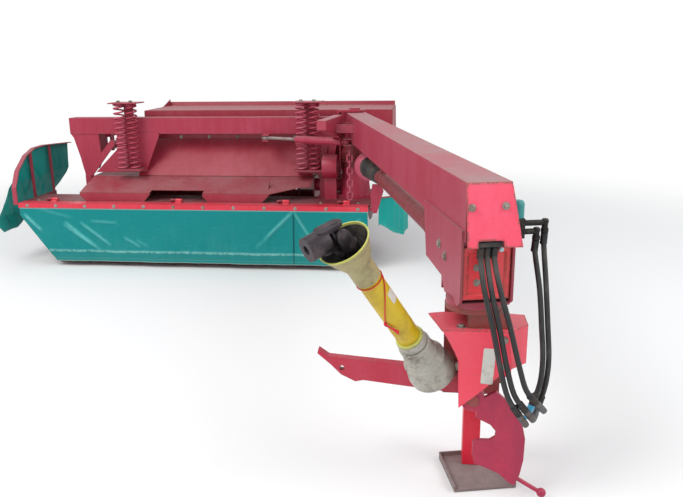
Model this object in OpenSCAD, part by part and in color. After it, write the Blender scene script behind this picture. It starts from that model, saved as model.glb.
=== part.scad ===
// Trailed disc mower conditioner with a swinging drawbar.
// Frame of the drawing: +X to the machine's left, seen from behind the hitch, +Y to the rear, +Z up.
// All modules draw from the middle of the front guard's lip on the ground, and place() moves them
// so that the origin lies under the middle of the whole machine.

/* [Front guard] */
// Width of the front guard and of the deck
guard_w = 3260; // [3000:10:3400]
// Height of the deck's top face above the ground
deck_z = 600; // [560:5:640]
// Depth of the guard's top plate, from the lip to the hinge
guard_depth = 110; // [90:5:140]
// Height of the guard's front lip
lip_h = 45; // [30:1:60]
// Thickness of the folded body sheets
sheet_t = 5; // [3:0.5:8]
// Thickness of the curtains
curtain_t = 5; // [3:0.5:8]
// Height of the curtains' lower edge above the ground
curtain_z = 50; // [30:5:120]
// Radius of the guard's hinge pin
guard_pin_r = 8; // [6:0.5:12]

/* [Cutterbar] */
// Distance between neighbouring discs
disc_pitch = 345; // [335:1:360]
// Radius of a disc before its sides are cut
disc_r = 150; // [140:1:158]
// Half the width across a disc's cut sides
disc_half_w = 90; // [80:1:95]
// Radius of the circle swept by the knife tips
knife_r = 236; // [228:1:239]
// Width of a knife
knife_w = 44; // [38:1:50]
// Height of the skids' soles, which stand on the ground, to the bar's underside
skid_h = 16; // [12:1:25]
// Height of the gear bar
bar_h = 66; // [55:1:80]
// Radius of a disc's spindle
spindle_r = 22; // [18:0.5:26]
// Place of the discs' centres behind the lip
disc_y = 300; // [290:5:320]

/* [Conditioner] */
// Height of the rotor's axis
rotor_z = 480; // [470:5:500]
// Place of the rotor's axis behind the lip
rotor_y = 930; // [910:5:960]
// Radius of the rotor's tube
rotor_r = 105; // [80:1:120]
// Radius swept by the tines
tine_r = 275; // [240:1:285]
// Thickness of a tine
tine_t = 12; // [8:1:16]
// Number of tine pairs along the rotor
tine_count = 22; // [12:1:24]
// Radius of the rotor's journals
journal_r = 30; // [25:1:40]

/* [Hood] */
// Half the width of the lower hood over the conditioner
base_half_w = 1080; // [1060:10:1150]
// Left end of the upper hood
hood_x0 = -620; // [-700:10:-560]
// Right end of the upper hood
hood_x1 = 1800; // [1700:10:1850]
// Height of the upper hood's top plate
hood_z = 1390; // [1360:5:1420]
// Place of the upper hood's rear edge
hood_y1 = 1450; // [1400:10:1500]
// Thickness of the hood's end plates
end_t = 8; // [5:1:12]

/* [Main frame] */
// Width and height of the main beam
beam_w = 150; // [120:5:180]
// Wall of the main beam
beam_wall = 8; // [5:1:12]
// Height of the main beam's top face
beam_top = 1340; // [1320:5:1360]
// Left end of the main beam
beam_x0 = -1290; // [-1350:10:-1250]
// Right end of the main beam
beam_x1 = 1320; // [1300:10:1330]
// Place of the main beam's front face behind the lip
beam_y = 475; // [465:5:490]
// Width of a rear longeron
rail_w = 100; // [80:5:120]
// Height of a rear longeron
rail_h = 110; // [90:5:120]

/* [Springs] */
// Radius of the coils to the wire's centre
coil_r = 46; // [40:1:50]
// Radius of the spring wire
wire_r = 8; // [6:0.5:9]
// Number of turns of a spring
coil_turns = 14; // [10:1:16]
// Distance between the two springs of a pair
spring_gap = 120; // [115:1:140]
// Height of a spring's lower end
spring_z0 = 870; // [850:5:900]
// Height of a spring's upper end
spring_z1 = 1478; // [1450:1:1500]

/* [Drawbar] */
// Angle of the drawbar out from straight ahead
drawbar_angle = 13; // [10:0.5:15]
// Width of the drawbar's box
drawbar_w = 180; // [160:5:200]
// Height of the drawbar's underside
drawbar_z0 = 1150; // [1140:5:1170]
// Height of the drawbar's top face
drawbar_z1 = 1385; // [1370:1:1395]
// Wall of the drawbar's box
drawbar_wall = 8; // [5:1:12]
// Distance from the drawbar's pivot to its front end
drawbar_l = 3950; // [3700:10:4050]
// Radius of the drawbar's pivot pin
pivot_r = 35; // [30:1:45]
// Radius of the drive line's cover tube
drive_r = 48; // [40:1:55]

/* [Headstock] */
// Radius of the swivel's ring
ring_r = 115; // [100:1:120]
// Radius of the swivel's spigot
swivel_r = 60; // [50:1:70]
// Height of the swivel's joint face
swivel_z = 855; // [850:1:860]
// Thickness of the guard plates
guard_t = 6; // [4:0.5:8]
// Radius of the hitch member's pivot pin
hitch_pin_r = 25; // [20:1:30]
// Thickness of the hitch member's arms
hitch_t = 40; // [30:1:45]

/* [Drive shaft] */
// Radius of the shaft's yellow guard tube
pto_tube_r = 50; // [46:1:54]
// Length of the guarded shaft
pto_l = 840; // [780:10:880]
// Rise of the shaft above level
pto_angle = 52.4; // [48:0.1:56]
// Radius of the shaft inside its guard
pto_shaft_r = 22; // [18:1:26]

/* [Parking stand] */
// Width of the square leg
leg_w = 78; // [70:1:90]
// Wall of the square leg
leg_wall = 6; // [4:0.5:8]
// Width of the foot plate
foot_w = 280; // [220:5:290]
// Thickness of the foot plate
foot_t = 12; // [8:1:16]

/* [Wheels] */
// Radius of a tyre
tyre_r = 422; // [400:1:430]
// Width of a tyre
tyre_w = 290; // [250:5:310]
// Radius of a rim under the tyre
rim_r = 195; // [180:1:205]
// Distance of a wheel's centre from the machine's middle
wheel_x = 1200; // [1190:5:1230]
// Place of the wheel axis behind the lip
wheel_y = 2250; // [2230:5:2280]
// Radius of the axle tube
axle_r = 57; // [50:1:65]
// Place of the axle tube behind the lip
axle_y = 1660; // [1640:5:1680]
// Height of the axle tube
axle_z = 860; // [850:5:880]
// Radius of a wheel's stub axle
stub_r = 30; // [25:1:35]

/* [Hidden] */
$fn = 48;

// one disc per disc node
disc_count = 8;

// running clearance of a pin in its bore, and the gap where soft or turning pieces seat
fit = 0.05;
seat = 0.3;

// the drawbar's pivot and the swivel under its front end, as X and Y
pivot = [1470, 500];
swivel_v = 153 - drawbar_l;
swivel = [pivot.x - swivel_v * sin(drawbar_angle), pivot.y + swivel_v * cos(drawbar_angle)];

// the drive shaft's foot beside the swivel, the turn of its plan, and the bend of its end joint
pto_base = [swivel.x - 159, swivel.y - 20, 540];
pto_turn = 228.5;
joint_turn = -10;
joint_bend = 72;

// the joint's cross along the shaft, and the socket beyond it: its distance, length and radius
cross_z = pto_l + 46;
socket_z = 48;
socket_l = 85;
socket_r = 46;

// a direction that is bent away from the shaft's axis, in the machine's frame
function shaft_way(bend, turn) = let(b = 90 - pto_angle, x = sin(bend) * cos(turn), y = sin(bend) * sin(turn),
    z = cos(bend), w = x * cos(b) + z * sin(b)) [w * cos(pto_turn) - y * sin(pto_turn),
    w * sin(pto_turn) + y * cos(pto_turn), z * cos(b) - x * sin(b)];
socket_way = shaft_way(joint_bend, joint_turn);
socket_end = pto_base + cross_z * shaft_way(0, 0) + (socket_z + socket_l) * socket_way;

// the outer limits that set the origin: X from the left canvas to the pin's knob, Y from the
// shaft's socket to the tyres' rear
canvas_out = guard_w / 2 + 220;
knob_x = swivel.x + 326;
knob_r = 20;
front_y = socket_end.y - socket_r * sqrt(1 - socket_way.y * socket_way.y);
rear_y = wheel_y + tyre_r;
origin_shift = [(canvas_out - knob_x) / 2, -(front_y + rear_y) / 2, 0];

module place() {
    translate(origin_shift) children();
}

// a flat pattern in Y and Z, drawn out along X from x0 to x1
module along_x(x0, x1) {
    translate([x0, 0, 0]) rotate([90, 0, 90]) linear_extrude(x1 - x0) children();
}

// a flat pattern in X and Z, drawn out along Y from y0 to y1
module along_y(y0, y1) {
    translate([0, y1, 0]) rotate([90, 0, 0]) linear_extrude(y1 - y0) children();
}

// a folded sheet's section: the points' line, offset by half the thickness to both sides
function side(d) = [-d.y, d.x] / norm(d);
function sheet_edge(p, h) = [for (i = [0 : len(p) - 1]) let(n1 = side(p[max(i, 1)] - p[max(i, 1) - 1]),
    j = min(i, len(p) - 2), n2 = side(p[j + 1] - p[j])) p[i] + h * (n1 + n2) / (1 + n1 * n2)];

module folded(points, t) {
    back = sheet_edge(points, -t / 2);
    polygon(concat(sheet_edge(points, t / 2), [for (i = [len(back) - 1 : -1 : 0]) back[i]]));
}

// a flat link between two round ends
function arc(c, r, a0, a1, steps) = [for (k = [0 : steps]) let(a = a0 + (a1 - a0) * k / steps) c + r * [cos(a), sin(a)]];

module link(a, b, ra, rb) {
    d = b - a;
    f = atan2(d.y, d.x);
    h = acos((ra - rb) / norm(d));
    polygon(concat(arc(b, rb, f - h, f + h, 12), arc(a, ra, f + h, f + 360 - h, 12)));
}

// a bar of rectangular section between two points
module bar(a, b, w, h) {
    d = b - a;
    translate(a) rotate([0, acos(d.z / norm(d)), atan2(d.y, d.x)])
        translate([-h / 2, -w / 2, 0]) cube([h, w, norm(d)]);
}

// a round bar between two points
module rod(a, b, r) {
    d = b - a;
    translate(a) rotate([0, acos(d.z / norm(d)), atan2(d.y, d.x)]) cylinder(h = norm(d), r = r);
}

// a tube swept along points, with the given number of sides
module swept(path, r, sides) {
    n = len(path);
    t = [for (i = [0 : n - 1]) let(d = path[min(i + 1, n - 1)] - path[max(i - 1, 0)]) d / norm(d)];
    ring = [for (i = [0 : n - 1]) let(side = cross(t[i], [0.31, 0.17, 0.94]), a = side / norm(side),
        b = cross(a, t[i])) for (k = [0 : sides - 1]) path[i]
        + r * (cos(360 * k / sides) * a + sin(360 * k / sides) * b)];
    wall = [for (i = [0 : n - 2]) for (k = [0 : sides - 1]) let(j = (k + 1) % sides, a = i * sides, b = a + sides)
        each [[a + k, b + k, b + j], [a + k, b + j, a + j]]];
    polyhedron(ring, concat(wall, [[for (k = [0 : sides - 1]) k]],
        [[for (k = [sides - 1 : -1 : 0]) (n - 1) * sides + k]]));
}

// Catmull-Rom points through a hand-laid route
function curve(p, steps) = concat([for (i = [0 : len(p) - 2]) for (k = [0 : steps - 1])
    let(a = p[max(i - 1, 0)], b = p[i], c = p[i + 1], d = p[min(i + 2, len(p) - 1)], u = k / steps)
    0.5 * ((2 * b) + (c - a) * u + (2 * a - 5 * b + 4 * c - d) * u * u + (3 * b - a - 3 * c + d) * u * u * u)],
    [p[len(p) - 1]]);

// Cutterbar: a flat gear bar with a skid, a boss and a spindle under each disc, and the two straps
// that carry it on the conditioner's side walls
bar_z0 = skid_h;
bar_z1 = bar_z0 + bar_h;
boss_h = 10;
disc_z = bar_z1 + boss_h + seat;
disc_top = disc_z + 54;
spindle_h = 15;

// thickness of the straps
strap_t = 12;

function disc_x(i) = (i - (disc_count - 1) / 2) * disc_pitch;

bar_end = disc_x(disc_count - 1) + 170;

module cutterbar() {
    color("firebrick") {
        along_x(-bar_end, bar_end)
            polygon([[150, bar_z0 + 14], [172, bar_z0], [440, bar_z0], [455, bar_z0 + 18],
                [455, bar_z1 - 20], [410, bar_z1], [190, bar_z1], [150, bar_z1 - 26]]);
        for (i = [0 : disc_count - 1]) translate([disc_x(i), disc_y, 0]) {
            translate([0, 0, bar_z1 - 1]) cylinder(h = boss_h + 1, r = 78);
            cylinder(h = bar_z1 + boss_h + spindle_h, r = spindle_r);
            translate([0, -disc_y, 0]) along_x(-150, 150)
                polygon([[150, 0], [430, 0], [470, bar_z0], [462, bar_z0 + 6], [160, bar_z0 + 6],
                    [112, bar_z0 + 44], [96, bar_z0 + 38]]);
        }
        for (x = [strap_t - base_half_w, base_half_w]) along_x(x - strap_t - seat * sign(x), x - seat * sign(x))
            polygon([[420, bar_z0 + 12], [600, bar_z0 + 12], [700, 75], [830, 180], [830, 250], [750, 250],
                [640, 110], [560, bar_z1 - 6], [420, bar_z1 - 6]]);
    }
}

// One disc: a dished plate with two flat sides, a dome and two knives
module cutting_disc() {
    color("darkred") {
        intersection() {
            rotate_extrude() polygon([[spindle_r + fit, disc_z], [62, disc_z], [66, disc_z + 9],
                [disc_r, disc_z + 9], [disc_r, disc_z + 15], [84, disc_z + 22], [66, disc_z + 44],
                [34, disc_top], [0, disc_top + 2], [0, disc_z + spindle_h + 1],
                [spindle_r + fit, disc_z + spindle_h + 1]]);
            translate([-disc_r - 1, -disc_half_w, 0]) cube([2 * disc_r + 2, 2 * disc_half_w, 2 * disc_top]);
        }
        for (a = [0, 180]) rotate(a) translate([disc_r - 22, 0, disc_z - 4]) cylinder(h = 24, r = 15);
    }
    color("dimgray") for (a = [0, 180]) rotate(a) translate([0, 0, disc_z + 3]) linear_extrude(6)
        polygon([[disc_r - 44, -knife_w / 2], [knife_r - 18, -knife_w / 2], [knife_r - 4, -knife_w / 4],
            [knife_r - 8, knife_w / 2], [disc_r - 44, knife_w / 2]]);
}

module disc(i) {
    if (i < disc_count) translate([disc_x(i), disc_y, 0]) rotate(i % 2 == 0 ? 0 : 90) cutting_disc();
}

// Deck: the sheet over the discs, with an end plate down at each end
deck_y0 = guard_depth + 10;
deck_y1 = 470;
side_x = guard_w / 2 - end_t;

module deck() {
    color("indianred") {
        translate([-guard_w / 2, deck_y0, deck_z - sheet_t]) cube([guard_w, deck_y1 - deck_y0, sheet_t]);
        for (s = [-1, 1]) along_x(s > 0 ? side_x : -side_x - end_t, s > 0 ? side_x + end_t : -side_x)
            polygon([[deck_y0, deck_z], [deck_y0, 500], [260, 430], [480, 400], [700, 440], [700, deck_z]]);
        // hinge eyes for the front guard
        for (x = hinge_x) guard_eye(x - 45, x - 7);
    }
}

hinge_x = [-1350, -150, 850, 1400];
hinge_z = deck_z + guard_pin_r + 12;

module guard_eye(x0, x1) {
    difference() {
        along_x(x0, x1) {
            translate([guard_depth, hinge_z]) circle(guard_pin_r + 7);
            polygon([[guard_depth, hinge_z - guard_pin_r - 7], [guard_depth + 40, deck_z - sheet_t],
                [guard_depth + 40, deck_z], [guard_depth + 8, hinge_z + guard_pin_r]]);
        }
        along_x(x0 - 1, x1 + 1) translate([guard_depth, hinge_z]) circle(guard_pin_r + fit);
    }
}

// Lower hood: the sloped sheet that rolls out over the deck, and the conditioner's side walls
slope_y0 = 125;
slope_y1 = 450;
slope_z0 = deck_z + 80;
slope_z1 = 785;
base_y1 = 1150;
recess_x = [-400, 100];

module slope_section() {
    folded([[slope_y0 + sheet_t / 2, slope_z0], [slope_y1, slope_z1], [base_y1, slope_z1 + 20]], sheet_t);
}

module hood_base() {
    color("indianred") {
        difference() {
            intersection() {
                along_x(-base_half_w, base_half_w) slope_section();
                linear_extrude(2000) polygon([[-base_half_w, slope_y0], [720, slope_y0], [1000, 260],
                    [base_half_w, 270], [base_half_w, base_y1 + 10], [-base_half_w, base_y1 + 10]]);
            }
            translate([recess_x[0], 0, slope_z0 - 60]) cube([recess_x[1] - recess_x[0], 185, 160]);
        }
        // the flange's two tabs, with cut corners
        along_y(slope_y0, slope_y0 + sheet_t) {
            polygon([[-base_half_w, slope_z0], [recess_x[0], slope_z0], [recess_x[0], slope_z0 - 12],
                [recess_x[0] - 60, deck_z], [-base_half_w + 60, deck_z], [-base_half_w, slope_z0 - 30]]);
            polygon([[recess_x[1], slope_z0], [720, slope_z0], [720, slope_z0 - 12], [650, deck_z],
                [recess_x[1] + 50, deck_z], [recess_x[1], slope_z0 - 30]]);
        }
        difference() {
            for (s = [-1, 1]) along_x(s > 0 ? base_half_w : -base_half_w - end_t,
                s > 0 ? base_half_w + end_t : -base_half_w)
                polygon([[deck_y1, deck_z], [deck_y1, 560], [700, 300], [760, 170], [1060, 170],
                    [base_y1, 300], [base_y1, slope_z1 + 20], [slope_y1, slope_z1], [slope_y1, deck_z]]);
            along_x(-2000, 2000) translate([rotor_y, rotor_z]) circle(journal_r + fit);
        }
        // hinge lug in front of the wall, and the rear edge's stiffener
        translate([690, 200, slope_z0 + 18]) along_x(0, 8) polygon([[0, 0], [70, 12], [70, 90], [50, 90]]);
        along_x(-base_half_w, base_half_w) translate([base_y1 - 30, slope_z1 - 22]) square([30, 40]);
    }
}

// Upper hood: front wall, top plate with a raised rear lip, rear slope and end plates
wall_y = 715;
wall_z = 1150;
hood_y2 = 1610;
hood_z2 = 1000;

// the sloped front wall ends here, and the wall is set back behind the leg and the gearboxes
step_x = base_half_w - 5;

module hood_outline() {
    polygon([[slope_y1 + 8, slope_z1 + 3], [700, 1115], [wall_y, wall_z], [wall_y + 5, hood_z],
        [hood_y1, hood_z], [hood_y2, hood_z2], [base_y1, slope_z1 + 24]]);
}

module behind_wall() {
    translate([wall_y - sheet_t / 2, 0]) square([2000, 2000]);
}

module hood() {
    color("indianred") difference() {
        union() {
            along_x(hood_x0, hood_x1) {
                folded([[wall_y, 1120], [wall_y, wall_z], [wall_y + 5, hood_z], [hood_y1, hood_z + 5],
                    [hood_y1 + 8, hood_z + 45]], sheet_t);
                folded([[hood_y1, hood_z + 5], [hood_y2, hood_z2]], sheet_t);
            }
            along_x(hood_x0, step_x) folded([[slope_y1 + 8, slope_z1 + 6], [695, 1112], [wall_y, 1120]], sheet_t);
            along_x(step_x - end_t, hood_x1) folded([[wall_y, slope_z1 + 40], [wall_y, 1120]], sheet_t);
            along_x(hood_x0 - end_t, hood_x0) hood_outline();
            along_x(step_x - end_t, step_x) difference() {
                hood_outline();
                behind_wall();
            }
            along_x(hood_x1, hood_x1 + end_t) intersection() {
                hood_outline();
                behind_wall();
            }
            // the triangular corner plate on the top's left end
            along_x(hood_x0 - end_t, hood_x0)
                polygon([[1180, hood_z - 10], [hood_y1, hood_z - 10], [hood_y1 + 8, hood_z + 70]]);
            // end wall below the hood's overhang on the drive side
            along_x(hood_x1, hood_x1 + end_t)
                polygon([[640, 640], [base_y1, 640], [base_y1, slope_z1 + 40], [600, slope_z1 + 40]]);
        }
        for (x = rail_x) translate([x - rail_w / 2 - 3, wall_y - 60, rail_z0 - 3])
            cube([rail_w + 6, 120, rail_h + 6]);
        for (x = rail_x) translate([x - rail_w / 2 - 3, hood_y1 - 20, hood_z2 - 20])
            cube([rail_w + 6, 260, rail_z0 + rail_h - hood_z2 + 23]);
    }
}

// Main frame: a square cross tube with closed ends
beam_z0 = beam_top - beam_w;
beam_y1 = beam_y + beam_w;

module main_beam() {
    color("crimson") difference() {
        translate([beam_x0, beam_y, beam_z0]) cube([beam_x1 - beam_x0, beam_w, beam_w]);
        translate([beam_x0 + beam_wall, beam_y + beam_wall, beam_z0 + beam_wall])
            cube([beam_x1 - beam_x0 - 2 * beam_wall, beam_w - 2 * beam_wall, beam_w - 2 * beam_wall]);
    }
    color("crimson") {
        // lug for the swing cylinder's rod
        for (z = [beam_z0 - 62, beam_z0 - 12]) translate([swing_eye.x - 30, swing_eye.y - 30, z])
            cube([60, beam_y - swing_eye.y + 60, 12]);
        translate([swing_eye.x - 30, beam_y + 5, beam_z0 - 62]) cube([60, 12, 62]);
        translate([swing_eye.x, swing_eye.y, beam_z0 - 66]) cylinder(h = 68, r = swing_pin_r);
    }
}

// Rear longerons: two tubes from the beam to the axle's bearings
rail_x = [-wheel_x, wheel_x];
rail_z0 = beam_z0 - 85;
rail_y1 = axle_y + 70;

module rear_rails() {
    color("firebrick") difference() {
        union() {
            for (x = rail_x) {
                translate([x - rail_w / 2, beam_y1, rail_z0]) cube([rail_w, rail_y1 - beam_y1, rail_h]);
                along_x(x - 12, x + 12) link([axle_y, axle_z], [axle_y, rail_z0 + 40], axle_r + 28, 66);
            }
            // rear face plates of the longerons against the beam
            for (x = rail_x) translate([x - rail_w / 2, beam_y1, rail_z0 + rail_h - 2])
                cube([rail_w, 14, beam_top - rail_z0 - rail_h - 30]);
            // lug for the lift cylinder's barrel
            for (x = [lift_x - 44, lift_x + 30]) along_x(x, x + 14)
                link([lift_pin.x, lift_pin.y], [lift_pin.x, rail_z0 + 50], 36, 40);
            translate([rail_x[0] + rail_w / 2 - 2, lift_pin.x - 35, rail_z0 + 20])
                cube([lift_x + 44 - rail_x[0] - rail_w / 2 + 2, 70, 50]);
        }
        for (x = rail_x) translate([x - rail_w / 2 + 7, beam_y1 + 7, rail_z0 + 7])
            cube([rail_w - 14, rail_y1 - beam_y1 - 14, rail_h - 14]);
        along_x(-2000, 2000) translate([axle_y, axle_z]) circle(axle_r + fit);
    }
    color("silver") along_x(lift_x - 44, lift_x + 44) translate(lift_pin) circle(lift_pin_r);
}

// Legs under the beam: a tapered folded leg with a foot lug at each side
module leg(points, foot, inner_x) {
    difference() {
        along_y(beam_y + 5, beam_y1 - 5) polygon(points);
        along_y(beam_y + 13, beam_y1 + 40) offset(delta = -8) polygon(points);
    }
    along_y(beam_y + 1, beam_y + 37) link(foot + [0, 20], foot - [0, 55], 46, 34);
    along_y(beam_y + 2, beam_y + 16) link(foot - [0, 55], [inner_x, beam_z0 - 90], 30, 30);
}

module left_leg() {
    x = -base_half_w;
    color("crimson") {
        leg([[beam_x0, beam_z0], [beam_x0 + 28, beam_z0 - 40], [x - 132, 960], [x - 110, 840], [x - 10, 840],
            [x + 30, 920], [x + 80, 1010], [x + 70, beam_z0]], [x - 62, 842], x + 200);
        translate([x - 108, deck_y1 - 60, deck_z]) cube([92, 140, 12]);
        translate([x - 92, beam_y - 16, deck_z]) cube([60, 40, 190]);
    }
}

module right_leg() {
    x = base_half_w;
    color("crimson") {
        leg([[x + 30, beam_z0], [x + 5, 820], [x + 170, 820], [beam_x1, beam_z0]], [x + 90, 830], x - 140);
        translate([x + 45, deck_y1 - 60, deck_z]) cube([90, 85, 12]);
        translate([x + 60, beam_y - 16, deck_z]) cube([60, 40, 180]);
    }
}

// Round cover over the end of a cross shaft, open towards the gearbox, on a plate that stands on the deck
cover_at = [350, 905];
cover_x = pivot.x - 280;
cover_w = 135;
cover_r = 110;

module shaft_cover() {
    color("crimson") {
        along_x(cover_x, cover_x + sheet_t) translate(cover_at) circle(cover_r - 1);
        along_x(cover_x + 1, cover_x + cover_w) translate(cover_at) difference() {
            circle(cover_r);
            circle(cover_r - sheet_t);
        }
        translate([cover_x + 10, cover_at.x - 5, deck_z]) cube([110, 10, cover_at.y - cover_r + 3 - deck_z]);
    }
}

// Flotation springs: a pair at each end, hung from a cap plate over the beam
spring_x = [-680, 1050];
spring_y = 385;

// the hangers' outlines in X from the pair's middle and Z, the left one spread out to the leg
hangers = [[[-140, beam_z0 + 8], [-140, beam_z0 - 140], [-380, spring_z0 - 50], [130, spring_z0 - 40],
    [280, beam_z0 - 20], [280, beam_z0 + 8]],
    [[40, beam_z0 + 8], [175, beam_z0 + 8], [175, beam_z0 - 80], [120, spring_z0 - 50],
    [-110, spring_z0 - 50], [-110, spring_z0], [60, spring_z0]]];

module spring_brackets() {
    color("crimson") for (k = [0, 1]) {
        x = spring_x[k];
        translate([x - 135, spring_y - 70, spring_z1]) cube([270, beam_y - spring_y + 130, 10]);
        translate([x - 45, beam_y - 12, beam_z0 + 20]) cube([90, 12, spring_z1 - beam_z0 - 20]);
        // lower hanger: a tapered plate from the beam to the springs' feet
        translate([x - 135, spring_y - 70, spring_z0 - 12]) cube([270, beam_y - spring_y + 70, 12]);
        translate([x, 0, 0]) along_y(beam_y - 10, beam_y) polygon(hangers[k]);
        for (s = [-1, 1]) translate([x + s * spring_gap / 2, spring_y, 0]) {
            translate([0, 0, spring_z0]) cylinder(h = 26, r = coil_r - wire_r - 2);
            translate([0, 0, spring_z1 - 26]) cylinder(h = 26, r = coil_r - wire_r - 2);
        }
    }
}

module coil(x) {
    run = spring_z1 - spring_z0 - 2 * wire_r - 2 * seat;
    swept([for (k = [0 : coil_turns * 12]) let(a = 30 * k, u = k / (coil_turns * 12))
        [x + coil_r * cos(a), spring_y + coil_r * sin(a), spring_z0 + wire_r + seat + run * u]], wire_r, 5);
}

module springs_left() {
    color("firebrick") for (s = [-1, 1]) coil(spring_x[0] + s * spring_gap / 2);
}

module springs_right() {
    color("firebrick") for (s = [-1, 1]) coil(spring_x[1] + s * spring_gap / 2);
}

// Pivot fork at the beam's right end, with the drawbar's upright pin
fork_gap = 5;
fork_t = 18;

module pivot_fork() {
    z0 = drawbar_z0 - fork_gap;
    z1 = drawbar_z1 + fork_gap;
    color("crimson") {
        for (z = [z0 - fork_t, z1]) translate([0, 0, z]) linear_extrude(fork_t) {
            translate(pivot) circle(90);
            polygon([[beam_x1, pivot.y - 90], [pivot.x, pivot.y - 90], [pivot.x, pivot.y + 90],
                [beam_x1, pivot.y + 110]]);
        }
        translate([beam_x1, pivot.y - 90, z0 - fork_t]) cube([15, 200, z1 - z0 + 2 * fork_t]);
        // foot down to the gearbox
        translate([beam_x1, pivot.y + 20, 800]) cube([15, 80, z0 - 800]);
    }
    color("silver") translate([pivot.x, pivot.y, z0 - fork_t]) {
        cylinder(h = z1 - z0 + 2 * fork_t, r = pivot_r);
        translate([0, 0, z1 - z0 + 2 * fork_t]) cylinder(h = 14, r = pivot_r + 14, $fn = 6);
    }
}

// Lower gearbox under the pivot, with its neck to the upper one
gear_z1 = 880;

module lower_gearbox() {
    color("darkred") {
        translate([pivot.x, pivot.y, 0]) {
            translate([0, 0, deck_z]) cylinder(h = gear_z1 - deck_z - 40, r1 = 150, r2 = 120);
            translate([0, 0, gear_z1 - 40]) cylinder(h = 40, r = 128);
        }
        translate([pivot.x - 180, deck_y1 - 70, deck_z]) cube([360, 330, 30]);
        along_x(base_half_w + end_t + seat, pivot.x) translate([pivot.y + 60, 700]) circle(60);
        translate([beam_x1, pivot.y + 20, 760]) cube([40, 80, 40]);
    }
}

// Safety chain that hangs from the swing cylinder's clevis: upright links, turned in turn
chain_at = [1455, 165];
chain_z0 = deck_z + 20;
chain_links = 8;
link_l = 88;
link_pitch = 57;
link_r = 30;
link_wire = 16;

module chain_link(z, turn) {
    r = link_r - link_wire;
    translate([chain_at.x, chain_at.y, z]) rotate(turn) rotate([90, 0, 0]) translate([0, 0, -link_wire / 2])
        linear_extrude(link_wire) difference() {
            link([0, link_r - link_l / 2], [0, link_l / 2 - link_r], link_r, link_r + 0.01);
            link([0, link_r - link_l / 2], [0, link_l / 2 - link_r], r, r + 0.01);
        }
}

module safety_chain() {
    top = chain_z0 + link_l + link_pitch * (chain_links - 1);
    color("indianred") {
        for (k = [0 : chain_links - 1]) chain_link(chain_z0 + link_l / 2 + link_pitch * k, 90 * (k % 2));
        translate([chain_at.x - 6, chain_at.y - 12, top - 8]) cube([12, 24, clevis_z0 - top + 8]);
    }
}

// Left end guard: an arched flat bar with its canvas outside and below
arch = [[12, 580], [14, 740], [95, 885], [255, 1005], [420, 1058], [600, 1065], [1140, 1035]];
arch_x = -guard_w / 2 - 27;

module side_arch() {
    color("indianred") {
        along_x(arch_x - 22, arch_x + 22) folded(arch, 8);
        // upright stays from the deck's end plate
        for (p = [[330, 1031], [690, 1058]]) translate([arch_x - 3, p.x, 565]) cube([6, 46, p.y - 565]);
        translate([arch_x - 4, deck_y0 + 5, 560]) cube([-guard_w / 2 - arch_x + 4, 575, 26]);
    }
}

module canvas_left() {
    x = arch_x - 22 - curtain_t / 2;
    out = curtain_t / 2 - canvas_out;
    color("teal") intersection() {
        along_y(2, 1150) folded([[x, 1080], [x, 780], [-guard_w / 2 - 130, 610], [out, 450], [out, 290]], curtain_t);
        along_x(-canvas_out - 100, arch_x) polygon([[10, 600], [14, 735], [95, 878], [255, 998], [420, 1050],
            [600, 1058], [1140, 1028], [1110, 730], [940, 550], [300, 300], [60, 300], [5, 360]]);
    }
}

// the right canvas hangs from a rail that is bent outwards from the deck's end, drawn in X and Y
canvas_plan = [for (p = [[70, 10], [220, 120], [305, 300], [330, 500], [330, 700]]) [guard_w / 2 + p.x, p.y]];
canvas_top = deck_z + 72;

module canvas_right() {
    w = guard_w / 2;
    color("teal") intersection() {
        linear_extrude(canvas_top - seat) folded(canvas_plan, curtain_t);
        along_y(0, 720) polygon([[w + 92, 430], [w + 110, 430], [w + 290, 290], [w + 400, 290], [w + 400, 700],
            [w + 92, 700]]);
    }
}

// Bracket of the right canvas: a tapered upright, the bent rail, and the bars that hold them on the
// deck and on the hood's end
module curtain_bracket() {
    w = guard_w / 2;
    x = hood_x1 + end_t + seat;
    color("indianred") {
        along_y(-8, 22) polygon([[w + 38, 545], [w + 78, 545], [w + 135, 740], [w + 115, 800], [w + 38, 800],
            [w + 20, 700]]);
        translate([0, 0, canvas_top]) linear_extrude(8) folded(canvas_plan, 26);
        translate([x, 655, canvas_top + 1]) cube([w + 330 - x, 40, 6]);
        translate([w + 10, 20, deck_z - 40]) cube([60, 680, 26]);
        translate([w, 130, deck_z - 40]) cube([14, 330, 26]);
    }
}

// Swath boards: two upright plates that turn in behind the conditioner
module swath_boards() {
    color("indianred") for (s = [-1, 1]) {
        bar_a = [s * (base_half_w - 30), base_y1 + 20];
        bar_b = [s * 700, 1780];
        translate([0, 0, 300]) linear_extrude(430) folded([bar_a, bar_b], 5);
        for (z = [330, 660]) translate([s > 0 ? base_half_w - 42 : -base_half_w, base_y1 - 50, z])
            cube([42, 80, 50]);
    }
}

// Front guard: a folded lip with hinge knuckles, and the curtain below it
module guard_lip() {
    color("indianred") {
        translate([-guard_w / 2, 0, deck_z - sheet_t]) cube([guard_w, guard_depth + 3, sheet_t]);
        translate([-guard_w / 2, 0, deck_z - lip_h]) cube([guard_w, sheet_t, lip_h]);
        for (x = hinge_x) along_x(x, x + 60) {
            translate([guard_depth, hinge_z]) circle(guard_pin_r + 7);
            polygon([[guard_depth - 50, deck_z - 1], [guard_depth, deck_z - 1], [guard_depth, hinge_z]]);
        }
    }
    color("silver") for (x = hinge_x) along_x(x - 52, x + 2) translate([guard_depth, hinge_z]) circle(guard_pin_r);
}

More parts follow.
